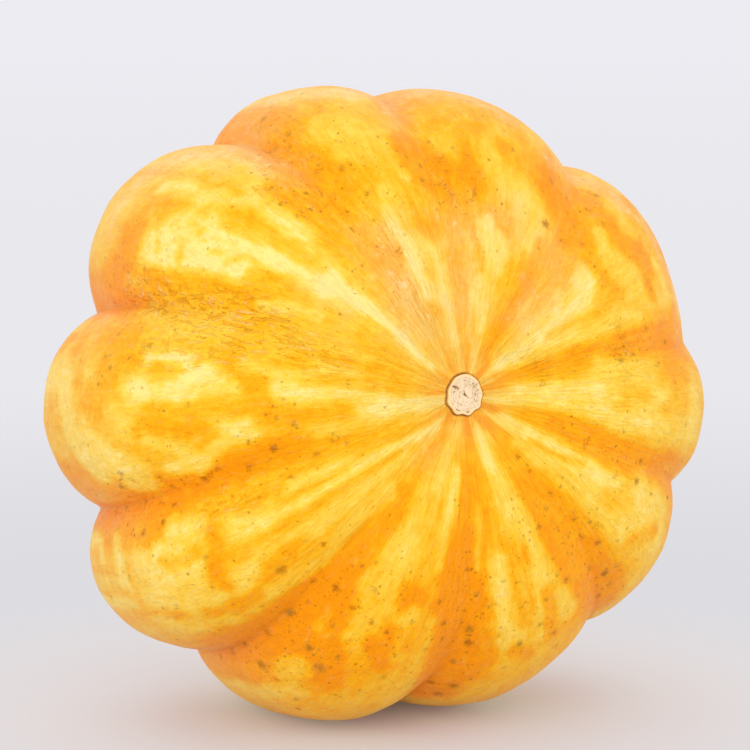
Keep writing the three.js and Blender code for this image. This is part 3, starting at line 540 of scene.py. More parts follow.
# Specks, listed one by one: rib count, degrees from the stem, radius in mm, darkness.
SPECKS = [
    (7.129, 62.4, 1.30, 0.90), (6.121, 70.9, 1.29, 0.90), (6.021, 49.8, 1.25, 0.90), (8.088, 45.1, 1.05, 1.00),
    (7.104, 69.4, 1.31, 0.80), (1.163, 30.0, 1.05, 0.95), (6.312, 56.5, 1.29, 0.75), (6.204, 53.3, 1.07, 0.90),
    (5.713, 41.5, 1.25, 0.75), (7.088, 44.1, 0.98, 0.95), (4.879, 31.3, 0.96, 0.95), (7.029, 63.8, 1.06, 0.85),
    (6.104, 36.7, 0.93, 0.95), (7.071, 39.7, 0.96, 0.90), (8.812, 34.4, 0.89, 0.95), (4.963, 48.7, 0.93, 0.90),
    (4.888, 76.9, 0.98, 0.80), (6.004, 72.6, 0.98, 0.80), (5.138, 72.5, 0.85, 0.90), (8.137, 34.5, 0.84, 0.90),
    (5.121, 64.7, 0.81, 0.90), (7.396, 46.6, 0.87, 0.80), (2.829, 81.9, 1.09, 0.60), (6.021, 80.8, 1.09, 0.60),
    (7.629, 48.7, 1.09, 0.60), (8.854, 52.2, 0.65, 1.00), (7.779, 36.2, 0.80, 0.80), (6.854, 36.5, 0.75, 0.85),
    (8.021, 53.7, 0.76, 0.80), (6.421, 76.3, 0.87, 0.70), (6.888, 41.2, 0.87, 0.70), (6.021, 60.6, 1.01, 0.60),
    (4.829, 73.7, 0.75, 0.80), (2.746, 35.0, 0.74, 0.80), (6.346, 50.8, 0.68, 0.85), (5.979, 39.1, 0.72, 0.80),
    (0.013, 44.4, 0.72, 0.80), (2.854, 65.3, 0.82, 0.70), (4.963, 37.3, 0.81, 0.70), (7.054, 51.3, 0.80, 0.70),
    (0.887, 52.8, 0.70, 0.80), (8.062, 25.6, 0.64, 0.85), (3.196, 39.4, 0.60, 0.90), (5.004, 85.1, 0.76, 0.70),
    (6.362, 72.0, 0.76, 0.70), (3.121, 43.5, 0.59, 0.90), (7.071, 30.9, 0.66, 0.80), (9.954, 29.4, 0.66, 0.80),
    (7.588, 37.0, 0.65, 0.80), (6.254, 38.2, 0.75, 0.70), (6.854, 56.8, 0.87, 0.60), (8.029, 30.1, 0.65, 0.80),
    (4.729, 26.6, 0.74, 0.70), (2.788, 43.7, 0.94, 0.55), (6.496, 39.6, 0.63, 0.80), (9.004, 35.1, 0.63, 0.80),
    (6.963, 24.9, 0.72, 0.70), (4.896, 61.5, 0.72, 0.70), (8.179, 28.9, 0.62, 0.80), (3.288, 45.1, 0.58, 0.85),
    (7.529, 43.1, 0.69, 0.70), (4.921, 44.7, 0.79, 0.60), (5.054, 60.7, 0.68, 0.70), (5.029, 23.7, 0.78, 0.60),
    (7.987, 9.6, 0.67, 0.70), (5.779, 31.3, 0.58, 0.80), (6.771, 31.2, 0.67, 0.70), (3.288, 40.3, 0.58, 0.80),
    (5.004, 74.1, 0.65, 0.70), (3.979, 59.5, 0.91, 0.50), (7.713, 21.3, 0.65, 0.70), (5.138, 29.8, 0.56, 0.80),
    (3.079, 30.3, 0.63, 0.70), (8.012, 18.1, 0.73, 0.60), (5.546, 56.8, 0.62, 0.70), (4.338, 71.9, 0.62, 0.70),
    (1.196, 43.1, 0.72, 0.60), (6.388, 39.0, 0.61, 0.70), (4.963, 59.5, 0.71, 0.60), (6.612, 45.1, 0.60, 0.70),
    (9.921, 25.6, 0.70, 0.60), (6.304, 32.4, 0.84, 0.50), (7.987, 40.3, 0.70, 0.60), (2.096, 38.2, 0.70, 0.60),
    (6.621, 51.9, 0.83, 0.50), (0.121, 36.2, 0.68, 0.60), (8.796, 41.5, 0.57, 0.70), (4.804, 36.1, 0.56, 0.70),
    (7.879, 19.6, 0.66, 0.60), (6.037, 87.9, 0.65, 0.60), (8.104, 50.7, 0.65, 0.60), (2.146, 34.4, 0.65, 0.60),
    (1.946, 46.3, 0.65, 0.60), (6.221, 69.9, 0.65, 0.60), (1.462, 46.0, 0.64, 0.60), (3.004, 68.2, 0.76, 0.50),
    (5.021, 89.7, 0.54, 0.70), (4.912, 90.3, 0.54, 0.70), (7.254, 42.2, 0.63, 0.60), (5.029, 66.5, 0.54, 0.70),
    (0.912, 43.5, 0.63, 0.60), (0.804, 41.7, 0.63, 0.60), (1.921, 30.4, 0.62, 0.60), (3.004, 34.2, 0.52, 0.70),
    (3.237, 50.2, 0.50, 0.70), (4.296, 66.4, 0.50, 0.70), (4.237, 60.9, 0.69, 0.50), (1.904, 36.5, 0.57, 0.60),
    (1.771, 29.4, 0.57, 0.60), (6.221, 44.6, 0.57, 0.60), (3.971, 72.6, 0.85, 0.40), (1.971, 33.2, 0.57, 0.60),
    (5.188, 37.3, 0.56, 0.60), (4.662, 30.0, 0.55, 0.60), (2.862, 29.4, 0.55, 0.60), (5.379, 54.3, 0.66, 0.50),
    (6.146, 29.7, 0.55, 0.60), (3.979, 90.0, 0.54, 0.60), (4.179, 73.7, 0.54, 0.60), (9.012, 49.3, 0.54, 0.60),
    (4.037, 68.8, 0.65, 0.50), (9.396, 47.9, 0.65, 0.50), (0.988, 29.4, 0.63, 0.50), (5.021, 17.9, 0.63, 0.50),
    (3.196, 55.0, 0.52, 0.60), (5.838, 51.8, 0.62, 0.50), (7.338, 54.0, 0.60, 0.50), (4.287, 24.9, 0.74, 0.40),
    (9.054, 13.8, 0.50, 0.60), (8.254, 31.6, 0.49, 0.60), (2.946, 47.6, 0.42, 0.70), (1.837, 42.9, 0.59, 0.50),
    (4.546, 48.4, 0.65, 0.45), (4.888, 19.9, 0.58, 0.50), (2.879, 52.4, 0.58, 0.50), (7.746, 5.4, 0.57, 0.50),
    (1.054, 42.5, 0.57, 0.50), (6.046, 43.8, 0.56, 0.50), (4.537, 28.3, 0.55, 0.50), (3.913, 89.7, 0.54, 0.50),
    (8.396, 46.4, 0.54, 0.50), (0.854, 31.8, 0.53, 0.50), (6.621, 36.2, 0.59, 0.45), (4.796, 62.3, 0.44, 0.60),
    (0.938, 35.1, 0.52, 0.50), (6.771, 57.1, 0.65, 0.40), (7.263, 28.4, 0.57, 0.45), (1.754, 40.8, 0.51, 0.50),
    (2.921, 61.3, 0.50, 0.50), (4.388, 31.8, 0.55, 0.45), (1.829, 26.2, 0.49, 0.50), (6.213, 27.7, 0.48, 0.50),
    (6.496, 32.1, 0.47, 0.50), (5.121, 43.2, 0.47, 0.50), (4.204, 69.4, 0.46, 0.50), (3.854, 73.5, 0.46, 0.50),
    (5.329, 81.6, 0.57, 0.40), (8.296, 38.0, 0.45, 0.50), (2.212, 40.6, 0.55, 0.40), (4.112, 69.4, 0.54, 0.40),
    (7.513, 60.6, 0.54, 0.40), (0.321, 43.4, 0.54, 0.40), (8.863, 18.7, 0.43, 0.50), (2.871, 71.7, 0.54, 0.40),
    (9.696, 25.2, 0.51, 0.40), (0.121, 15.7, 0.50, 0.40), (0.071, 23.4, 0.49, 0.40), (1.696, 36.4, 0.49, 0.40),
    (1.921, 27.2, 0.48, 0.40), (0.096, 19.2, 0.48, 0.40), (6.713, 27.5, 0.45, 0.40), (3.829, 81.5, 0.44, 0.40),
    (3.104, 37.7, 0.42, 0.40), (9.738, 32.9, 0.47, 0.35), (5.287, 90.3, 0.54, 0.30), (2.979, 39.4, 0.38, 0.40),
    (9.379, 36.1, 0.50, 0.30), (9.213, 37.9, 0.49, 0.30), (7.237, 31.8, 0.42, 0.30), (9.412, 31.2, 0.40, 0.30),
    (8.512, 29.5, 0.40, 0.30), (5.338, 44.1, 0.37, 0.30),
]
# Where fine specks are thick, and where the skin is scuffed; rows as in STREAKS.
THICK = [
    (1.00, 8.8, 8.8, 2.95, 76, 3.02, 51, 2.98, 37),
    (0.90, 5.2, 5.2, 1.99, 42, 1.90, 33),
    (0.80, 6.7, 6.7, 1.09, 43, 0.88, 38),
    (0.70, 4.2, 4.2, 0.02, 24, 0.04, 39),
    (0.50, 4.8, 4.8, 9.01, 20, 8.98, 36),
    (0.90, 7.3, 7.3, 7.91, 21, 7.99, 34, 8.02, 47),
    (1.00, 6.8, 6.8, 6.93, 25, 6.97, 38, 7.05, 56),
    (1.00, 8.2, 8.2, 6.04, 71, 6.15, 53, 6.13, 40),
    (0.90, 6.2, 6.2, 6.35, 55, 6.47, 46, 6.45, 37),
    (0.80, 5.6, 5.6, 7.20, 43, 7.47, 50, 7.64, 48),
    (0.80, 5.6, 5.6, 4.90, 30, 4.97, 45, 5.00, 72),
    (0.70, 6.6, 6.6, 5.09, 79, 5.18, 70),
    (0.70, 6.2, 6.2, 3.95, 77, 4.09, 56, 4.26, 70),
    (0.50, 5.9, 5.9, 5.28, 54, 5.56, 52),
    (0.50, 4.2, 4.2, 2.49, 56, 2.86, 46),
    (0.60, 4.0, 4.0, 4.67, 31, 4.94, 20),
    (0.50, 3.4, 3.4, 3.52, 23, 2.95, 24),
]
SCUFFS = [
    (1.00, 3.4, 3.4, 3.95, 77, 3.99, 60, 3.97, 41, 4.00, 35),
    (0.80, 2.5, 2.5, 4.13, 49, 4.19, 38, 4.10, 31),
    (0.70, 2.5, 2.5, 4.12, 28, 4.15, 20),
    (0.60, 3.2, 3.2, 4.24, 61, 4.25, 44),
    (0.80, 1.5, 1.5, 10.11, 27, 9.90, 26),
    (0.80, 0.9, 0.9, 2.79, 28, 2.80, 24),
    (0.50, 2.7, 2.7, 3.29, 51, 3.16, 44),
    (0.40, 2.7, 2.7, 3.05, 71, 2.94, 60),
    (0.50, 1.9, 1.9, 5.14, 51, 5.16, 40),
    (0.40, 3.6, 3.6, 3.15, 15, 3.01, 10),
    (0.50, 1.3, 1.3, 0.77, 6, 0.05, 10),
]
# Where the ground tone is a little lighter (+) or deeper (-); rows as in STREAKS.
LEANINGS = [
    (0.15, 5.8, 5.8, 3.66, 24, 3.45, 16, 3.15, 6),
    (0.08, 5.2, 5.2, 3.92, 14, 3.87, 5),
    (0.13, 4.0, 4.0, 4.03, 62, 4.04, 45),
    (0.18, 3.5, 3.5, 3.62, 88, 3.55, 85),
    (-0.13, 6.2, 6.2, 5.96, 65, 6.08, 45, 6.28, 33),
    (-0.13, 6.2, 6.2, 6.40, 58, 6.55, 47),
    (-0.08, 4.7, 4.7, 5.30, 54, 5.54, 51),
    (-0.11, 4.1, 4.1, 5.48, 36, 5.48, 25),
    (-0.13, 3.5, 3.5, 0.70, 63, 0.50, 62, 0.36, 64),
    (-0.11, 3.0, 3.0, 9.95, 46, 9.80, 46),
    (-0.12, 3.7, 3.7, 1.75, 40, 1.55, 39),
    (-0.10, 3.5, 3.5, 1.23, 42, 1.08, 41),
    (0.10, 3.1, 3.1, 0.56, 5, 0.34, 14),
    (-0.14, 4.1, 4.1, 6.67, 21, 6.77, 33, 6.89, 48),
    (0.08, 3.3, 3.3, 5.03, 79, 5.10, 81),
    (0.10, 2.7, 2.7, 9.03, 48, 8.85, 53),
]
# Painted sheen: where the skin is turned peach to stand for the soft lights' reflection; rows as in STREAKS.
PAINTED_SHEEN = [
    (0.90, 2.5, 2.5, 2.98, 90, 3.12, 65, 3.10, 57),
    (0.60, 1.6, 1.6, 3.11, 56, 3.06, 49),
    (0.60, 2.5, 2.5, 1.98, 75, 2.15, 53),
    (0.90, 1.6, 1.6, 1.21, 52, 0.97, 61, 0.84, 60, 0.75, 56),
    (0.75, 1.4, 1.4, 0.75, 56, 0.58, 59, 0.43, 59, 0.31, 57),
    (0.70, 1.4, 1.4, 0.25, 63, 0.11, 56, 0.01, 53),
    (0.85, 1.9, 1.9, 2.75, 93, 2.65, 87, 2.53, 76, 2.29, 73),
    (0.80, 1.6, 1.6, 2.35, 70, 2.14, 69, 2.12, 63),
    (0.80, 1.6, 1.6, 1.91, 76, 1.77, 76, 1.65, 71, 1.53, 65, 1.47, 60),
    (0.80, 1.9, 1.9, 3.34, 90, 3.29, 83, 3.23, 74, 3.21, 67),
    (0.70, 1.6, 1.6, 3.52, 90, 3.39, 90),
    (0.80, 1.6, 1.6, 3.66, 91, 3.59, 92),
    (0.80, 1.0, 1.0, 1.09, 17, 1.00, 15),
    (0.65, 3.5, 3.5, 1.03, 25, 0.84, 20, 0.85, 12),
    (0.75, 4.2, 4.2, 2.91, 23, 3.04, 16, 3.12, 11),
    (0.70, 3.0, 3.0, 1.91, 24, 1.89, 17, 1.97, 10),
    (0.60, 3.3, 3.3, 1.55, 25, 1.43, 28),
    (0.40, 2.2, 2.2, 3.60, 27, 3.60, 21),
    (0.50, 2.1, 2.1, 2.25, 5, 1.60, 3),
    (0.35, 2.6, 2.6, 5.97, 4, 6.10, 7),
    (0.50, 1.4, 1.4, 3.97, 94, 4.15, 84),
    (0.45, 1.9, 1.9, 2.93, 8, 2.80, 5),
]


def nearness(row, points, wobble):
    """How far inside a streak each point is, mm (negative outside), and the streak's local half width."""
    pts = np.array(row[3:], float).reshape(-1, 2)
    hop = np.hypot(np.diff(pts[:, 0]) * 20, np.diff(np.radians(pts[:, 1])) * 55) if len(pts) > 1 else np.array([0.0])
    at = np.concatenate([[0], np.cumsum(hop)])
    count = max(2, int(at[-1] / 2.0) + 2) if len(pts) > 1 else 1
    if count > 1:
        u = np.linspace(0, at[-1], count)
        s, psi = np.interp(u, at, pts[:, 0]), np.radians(np.interp(u, at, pts[:, 1]))
        share = u / at[-1]
    else:
        s, psi, share = pts[:, 0], np.radians(pts[:, 1]), np.zeros(1)
    line = stand(skin(s, psi))
    half = row[1] + (row[2] - row[1]) * share
    reach = max(row[1], row[2]) * 2.2 + 2.5
    lo, hi = line.min(0) - reach, line.max(0) + reach
    pick = np.where(np.all((points > lo) & (points < hi), 1))[0]
    p = points[pick]
    best, wide = np.full(len(p), -1e3), np.ones(len(p))
    for i in range(max(1, len(line) - 1)):
        a, b = line[i], line[min(i + 1, len(line) - 1)]
        d = b - a
        t = np.clip((p - a) @ d / max(d @ d, 1e-9), 0, 1)
        w = half[i] + (half[min(i + 1, len(line) - 1)] - half[i]) * t
        inside = w - np.linalg.norm(p - a - t[:, None] * d, axis=1)
        better = inside > best
        best[better], wide[better] = inside[better], w[better]
    return pick, best + wobble[pick] * np.minimum(1.0, wide / 2.2), wide


def paint(field, rows, points, wobble, sharp=1.0, adding=False):
    for row in rows:
        pick, inside, wide = nearness(row, points, wobble)
        soft = (0.38 * wide + 0.45) / sharp
        m = step(-soft, soft, inside)
        field[pick] = field[pick] * (1 - m * (not adding)) + row[0] * m


streaks = layered(np.stack([mer[:, 0] * 8, mer[:, 1] * 8, psi_all * 1.1], -1), 41, 3)
blots = layered(P / 13.0, 47, 2)
shift = 0.12 * noise(np.stack([k_all * 3.7, psi_all * 1.2, k_all * 0.0], -1), 53)
crown = np.clip(1 - np.abs(x_all - 0.5 - shift) / 0.5, 0, 1)
wild = 0.06 + 0.80 * step(0.22, 0.85, crown + 0.42 * streaks + 0.30 * blots)
facing = normals(fm) @ np.array([-0.415, -0.899, 0.139])
seen = step(-0.12, 0.18, facing)
pale = wild * (1 - seen) + (0.42 + 0.14 * streaks + 0.10 * blots) * seen
ragged = 0.60 * layered(np.stack([mer[:, 0] * 24, mer[:, 1] * 24, psi_all * 5], -1), 61, 2) + 0.70 * layered(P / 3.0, 67, 3)
paint(pale, STREAKS, P, ragged)
paint(pale, LEANINGS, P, ragged, 0.45, adding=True)
dens = 0.10 + 0.5 * step(0.45, 0.1, pale) * (1 - seen) + 0.12 * step(0.4, 0.2, pale)
paint(dens, THICK, P, ragged * 2, 0.4)
scuff = np.zeros(n_pts)
paint(scuff, SCUFFS, P, ragged * 2, 0.5)
# painted sheen: a faint peach band round the core's widest part, with the listed sheen rows on top
painted_sheen = 0.12 * step(1.05, 1.45, psi_all) * step(2.2, 1.7, psi_all)
paint(painted_sheen, PAINTED_SHEEN, P, ragged * 2.5, 0.32)

# each speck's own centre, handed to the points round it
moved = P - stand(np.vstack([local.reshape(-1, 3), local[0].mean(0), local[-1].mean(0)]))
dot_vec, dot_far = np.full((n_pts, 3), 9.0), np.full(n_pts, 9.0)
dot_size, dot_tone = np.full(n_pts, 0.5), np.zeros(n_pts)
table = np.array(SPECKS)
for centre, (size, tone) in zip(stand(skin(table[:, 0], np.radians(table[:, 1]))), table[:, 2:]):
    pick = np.where(np.all(np.abs(P - centre) < 4.0, 1))[0]
    if len(pick) == 0:
        continue
    d = np.linalg.norm(P[pick] - moved[pick] - centre, axis=1)
    own = centre + moved[pick[np.argmin(d)]]
    far = np.linalg.norm(P[pick] - own, axis=1)
    closer = far < dot_far[pick]
    q = pick[closer]
    dot_vec[q], dot_far[q] = P[q] - own, far[closer]
    dot_size[q], dot_tone[q] = size, tone

store(fm, "pale", pale)
store(fm, "mer", mer)
store(fm, "furrow", 1 - rib_all)
store(fm, "specks", dens)
store(fm, "scuff", scuff)
store(fm, "painted_sheen", painted_sheen)
store(fm, "core_r", rho_all)
store(fm, "back", step(2.4, 2.6, psi_all))
share_all = np.concatenate([np.repeat(share, len(S), 1).ravel(), [0, 9]])
store(fm, "collar", np.where(psi_all < 1, step(1.13, 1.05, share_all), 0.0))
store(fm, "dot_vec", dot_vec)
store(fm, "dot_info", np.stack([dot_far, dot_size, dot_tone], -1))


# ---- materials ---------------------------------------------------------------------
def srgb(r, g, b):
    def lin(c):
        c /= 255
        return c / 12.92 if c <= 0.04045 else ((c + 0.055) / 1.055) ** 2.4
    return (lin(r), lin(g), lin(b), 1.0)


class Nodes:
    """A small helper that adds nodes to a material."""

    def __init__(self, name):
        self.mat = bpy.data.materials.new(name)
        self.mat.use_nodes = True
        self.tree = self.mat.node_tree
        self.tree.nodes.clear()
        self.x = 0

    def add(self, kind, **settings):
        n = self.tree.nodes.new(kind)
        n.location = (self.x, 0)
        self.x += 180
        for k, v in settings.items():
            if k.startswith("in_"):
                n.inputs[k[3:].replace("_", " ")].default_value = v
            else:
                setattr(n, k, v)
        return n

    def link(self, a, b):
        self.tree.links.new(a, b)

    def put(self, socket, value):
        if isinstance(value, bpy.types.NodeSocket):
            self.link(value, socket)
        else:
            socket.default_value = value

    def math(self, op, a, b=0.0, c=0.0, clamp=False):
        n = self.add("ShaderNodeMath", operation=op, use_clamp=clamp)
        for i, v in enumerate((a, b, c)):
            self.put(n.inputs[i], v)
        return n.outputs[0]

    def vmath(self, op, a, b=(0, 0, 0)):
        n = self.add("ShaderNodeVectorMath", operation=op)
        self.put(n.inputs[0], a)
        self.put(n.inputs[1], b)
        return n.outputs[0]

    def length(self, a):
        n = self.add("ShaderNodeVectorMath", operation="LENGTH")
        self.put(n.inputs[0], a)
        return n.outputs["Value"]

    def split(self, colour):
        n = self.add("ShaderNodeSeparateColor")
        self.link(colour, n.inputs[0])
        return n.outputs

    def attr(self, name):
        return self.add("ShaderNodeAttribute", attribute_name=name)

    def noise(self, vector, scale, detail=3.0, rough=0.5, distort=0.0, out="Fac"):
        n = self.add("ShaderNodeTexNoise")
        self.put(n.inputs["Vector"], vector)
        n.inputs["Scale"].default_value = scale
        n.inputs["Detail"].default_value = detail
        n.inputs["Roughness"].default_value = rough
        n.inputs["Distortion"].default_value = distort
        return n.outputs[out]

    def signed(self, value, amount):
        """A 0 to 1 field as one about zero, times amount."""
        return self.math("MULTIPLY", self.math("SUBTRACT", value, 0.5), amount)

    def range(self, v, a, b, c=0.0, d=1.0, smooth=True):
        n = self.add("ShaderNodeMapRange", interpolation_type="SMOOTHSTEP" if smooth else "LINEAR")
        self.put(n.inputs["Value"], v)
        for key, val in (("From Min", a), ("From Max", b), ("To Min", c), ("To Max", d)):
            self.put(n.inputs[key], val)
        return n.outputs["Result"]

    def ramp(self, v, stops, mode="LINEAR"):
        n = self.add("ShaderNodeValToRGB")
        n.color_ramp.interpolation = mode
        e = n.color_ramp.elements
        while len(e) < len(stops):
            e.new(0.5)
        for i, (at, colour) in enumerate(stops):
            e[i].position = at
            e[i].color = colour
        self.put(n.inputs["Fac"], v)
        return n.outputs["Color"]

    def mix(self, fac, a, b, mode="MIX"):
        n = self.add("ShaderNodeMix", data_type="RGBA", blend_type=mode)
        self.put(n.inputs[0], fac)
        self.put(n.inputs[6], a)
        self.put(n.inputs[7], b)
        return n.outputs[2]


def cells(g, vector, scale, wobble_scale, wobble):
    """Voronoi cells of a slightly stirred space: distance and each cell's own colour."""
    stir = g.noise(vector, wobble_scale, 1.0, 0.5, out="Color")
    stirred = g.vmath("ADD", vector, g.vmath("MULTIPLY", g.vmath("SUBTRACT", stir, (0.5, 0.5, 0.5)), (wobble,) * 3))
    n = g.add("ShaderNodeTexVoronoi", feature="F1")
    g.link(stirred, n.inputs["Vector"])
    n.inputs["Scale"].default_value = scale
    return n.outputs["Distance"], g.split(n.outputs["Color"])


def skin_material():
    g = Nodes("pumpkin_skin")
    obj = g.add("ShaderNodeTexCoord").outputs["Object"]
    mer = g.attr("mer").outputs["Vector"]
    pale = g.attr("pale").outputs["Fac"]
    furrow = g.attr("furrow").outputs["Fac"]
    dens = g.attr("specks").outputs["Fac"]
    scuff = g.attr("scuff").outputs["Fac"]
    painted_sheen = g.attr("painted_sheen").outputs["Fac"]
    core_r = g.attr("core_r").outputs["Fac"]
    collar = g.attr("collar").outputs["Fac"]
    back = g.attr("back").outputs["Fac"]

    # streaky edges: noise drawn out along the ribs, a little mottle, fine lines by the stem
    near = g.range(core_r, 13.0, 4.5)
    long_a = g.noise(g.vmath("MULTIPLY", mer, (24, 24, 3.4)), 1.0, 3.0, 0.55)
    long_b = g.noise(g.vmath("MULTIPLY", mer, (64, 64, 7.0)), 1.0, 2.0, 0.5)
    long_c = g.noise(g.vmath("MULTIPLY", mer, (9, 9, 3.0)), 1.0, 2.0, 0.6)
    blot = g.noise(obj, 210.0, 4.0, 0.6)
    fibre = g.noise(g.vmath("MULTIPLY", mer, (40, 40, 17)), 1.0, 4.0, 0.66, 1.2)
    mottle = g.noise(obj, 620.0, 4.0, 0.70, 0.5)
    v = g.math("ADD", pale, g.signed(long_a, 0.34))
    v = g.math("ADD", v, g.signed(long_b, 0.14))
    v = g.math("ADD", v, g.signed(blot, 0.42))
    v = g.math("ADD", v, g.signed(fibre, 0.56))
    v = g.math("ADD", v, g.signed(mottle, 0.46))
    v = g.math("ADD", v, g.math("MULTIPLY", g.signed(long_c, 0.9), near), clamp=True)
    v = g.math("ADD", g.math("MULTIPLY", v, 0.68), g.math("MULTIPLY", g.range(v, 0.05, 0.88), 0.32))
    base = g.ramp(v, [
        (0.00, srgb(248, 150, 1)),
        (0.12, srgb(249, 163, 3)),
        (0.26, srgb(250, 174, 12)),
        (0.40, srgb(250, 185, 30)),
        (0.55, srgb(250, 193, 50)),
        (0.70, srgb(250, 201, 62)),
        (0.85, srgb(251, 210, 86)),
        (1.00, srgb(252, 225, 132)),
    ])
    # painted sheen: a peach veil on the shoulders and rim, and close to the stem
    peach = g.mix(g.range(v, 0.1, 0.8), srgb(252, 176, 98), srgb(254, 212, 148))
    sheen_amount = g.math("MAXIMUM", g.math("MULTIPLY", near, 0.26), g.math("MULTIPLY", painted_sheen, g.range(blot, 0.3, 0.7, 0.62, 0.92)))
    base = g.mix(g.math("MULTIPLY", sheen_amount, 0.9), base, peach)

    # painted highlight: small pale flecks inside the painted sheen
    sheen_fleck = g.range(g.noise(obj, 520.0, 2.0, 0.5), 0.60, 0.72, 0.0, 0.45)
    base = g.mix(g.math("MULTIPLY", sheen_fleck, g.range(painted_sheen, 0.15, 0.6)), base, srgb(255, 222, 162))

    # placed specks: ragged dots round their own centres
    info = g.split(g.attr("dot_info").outputs["Color"])
    rag = g.noise(obj, 1500.0, 2.0, 0.6, out="Color")
    rel = g.vmath("ADD", g.attr("dot_vec").outputs["Vector"], g.vmath("MULTIPLY", g.vmath("SUBTRACT", rag, (0.5, 0.5, 0.5)), (1.7, 1.7, 1.7)))
    near_dot = g.math("DIVIDE", g.length(rel), info[1])
    own = g.range(g.math("SUBTRACT", info[0], info[1]), 0.66, 0.42)
    dot = g.math("MULTIPLY", g.math("ADD", g.math("MULTIPLY", g.range(near_dot, 1.15, 0.1), 0.86), g.math("MULTIPLY", g.range(near_dot, 1.7, 0.5), 0.14)), g.math("MULTIPLY", own, g.range(core_r, 6.0, 12.0)))
    dot = g.math("MULTIPLY", dot, info[2])
    # fine specks in between, thickest in the orange
    dist, pick = cells(g, obj, 800.0, 2600.0, 0.0005)
    size = g.range(pick[0], 0.0, 1.0, 0.14, 0.38, smooth=False)
    fine = g.range(g.math("DIVIDE", dist, size), 1.1, 0.15)
    fine = g.math("MULTIPLY", fine, g.math("LESS_THAN", pick[1], g.math("MULTIPLY", dens, 0.80)))
    fine = g.math("MULTIPLY", fine, g.range(core_r, 9.0, 18.0))
    fine = g.math("MULTIPLY", fine, g.range(pick[2], 0.0, 1.0, 0.40, 0.95, smooth=False))
    # tiny dashes, drawn out round the core
    dist3, pick3 = cells(g, g.vmath("MULTIPLY", mer, (44, 44, 66)), 1.0, 3.0, 0.45)
    dash = g.range(g.math("DIVIDE", dist3, g.range(pick3[0], 0.0, 1.0, 0.13, 0.34, smooth=False)), 1.05, 0.25)
    dash = g.math("MULTIPLY", dash, g.math("LESS_THAN", pick3[1], g.math("MULTIPLY", dens, 0.42)))
    dash = g.math("MULTIPLY", dash, g.range(pick3[2], 0.0, 1.0, 0.3, 0.9, smooth=False))
    fine = g.math("MAXIMUM", fine, dash)
    # a few wide faint smudges
    dist2, pick2 = cells(g, obj, 230.0, 900.0, 0.0016)
    smudge = g.range(dist2, 0.30, 0.08)
    smudge = g.math("MULTIPLY", smudge, g.math("LESS_THAN", pick2[1], g.math("MULTIPLY", dens, 0.42)))
    smudge = g.math("MULTIPLY", smudge, g.range(g.noise(obj, 1500.0, 2.0, 0.6), 0.42, 0.62, 0.0, 0.45))

    mark = g.math("MAXIMUM", g.math("MULTIPLY", dot, 0.76), g.math("MAXIMUM", g.math("MULTIPLY", fine, 0.68), smudge))
    mark = g.math("MULTIPLY", mark, g.range(core_r, 9.5, 14.0))
    olive = g.noise(obj, 60.0, 1.0, 0.5)
    tint = g.mix(g.range(olive, 0.53, 0.64), srgb(146, 80, 8), srgb(128, 94, 30))
    colour = g.mix(mark, base, tint)

    # scuffs: short raised wrinkles, with a painted highlight on their crests and painted shade in their troughs
    wr = g.noise(g.vmath("MULTIPLY", mer, (46, 46, 15)), 1.0, 3.0, 0.6, 0.4)
    ridge = g.range(wr, 0.54, 0.66)
    trough = g.range(wr, 0.46, 0.36)
    wear_and_painted_light = g.math("ADD", g.math("MULTIPLY", scuff, 0.9), 0.22)
    ridge, trough = g.math("MULTIPLY", ridge, wear_and_painted_light), g.math("MULTIPLY", trough, wear_and_painted_light)
    colour = g.mix(g.math("MULTIPLY", ridge, 0.30), colour, srgb(255, 216, 150))
    colour = g.mix(g.math("MULTIPLY", g.math("MULTIPLY", trough, 0.34), g.range(core_r, 6.0, 14.0)), colour, srgb(206, 120, 24))

    # the brown edge round the stem, and the withered blossom end
    colour = g.mix(g.math("MULTIPLY", collar, g.range(g.noise(obj, 900.0, 2.0, 0.5), 0.3, 0.6, 0.55, 0.9)), colour, srgb(214, 146, 56))
    dry = g.math("MULTIPLY", back, g.range(g.math("ADD", core_r, g.signed(g.noise(obj, 700.0, 3.0, 0.6), 2.2)), 4.4, 3.3))
    dry_tone = g.mix(g.noise(obj, 1300.0, 3.0, 0.65), srgb(120, 84, 44), srgb(196, 156, 96))
    colour = g.mix(dry, colour, dry_tone)
    # painted shade: furrow bottoms turn deeper orange towards the core's widest part
    deep = g.math("MULTIPLY", g.range(furrow, 0.72, 1.0), g.range(core_r, 38.0, 58.0, 0.0, 0.25))
    colour = g.mix(deep, colour, srgb(222, 108, 6))

    # relief: pores, skin grain, wrinkles
    pores = g.noise(obj, 1400.0, 2.0, 0.5)
    grain = g.noise(obj, 380.0, 3.0, 0.5)
    height = g.math("ADD", g.math("MULTIPLY", pores, 0.22), g.math("MULTIPLY", grain, 0.8))
    height = g.math("SUBTRACT", height, g.math("MULTIPLY", mark, 0.5))
    height = g.math("ADD", height, g.math("MULTIPLY", g.math("SUBTRACT", ridge, trough), 1.3))
    height = g.math("ADD", height, g.math("MULTIPLY", mottle, 0.6))
    height = g.math("ADD", height, g.math("MULTIPLY", dry, g.math("MULTIPLY", g.noise(obj, 900.0, 3.0, 0.6), 2.5)))
    bump = g.add("ShaderNodeBump", in_Strength=0.60, in_Distance=0.00050)
    g.link(height, bump.inputs["Height"])
    rough = g.math("ADD", g.range(grain, 0.3, 0.7, 0.38, 0.50), g.math("MULTIPLY", mark, 0.2))
    rough = g.math("ADD", rough, g.math("MULTIPLY", dry, 0.35))

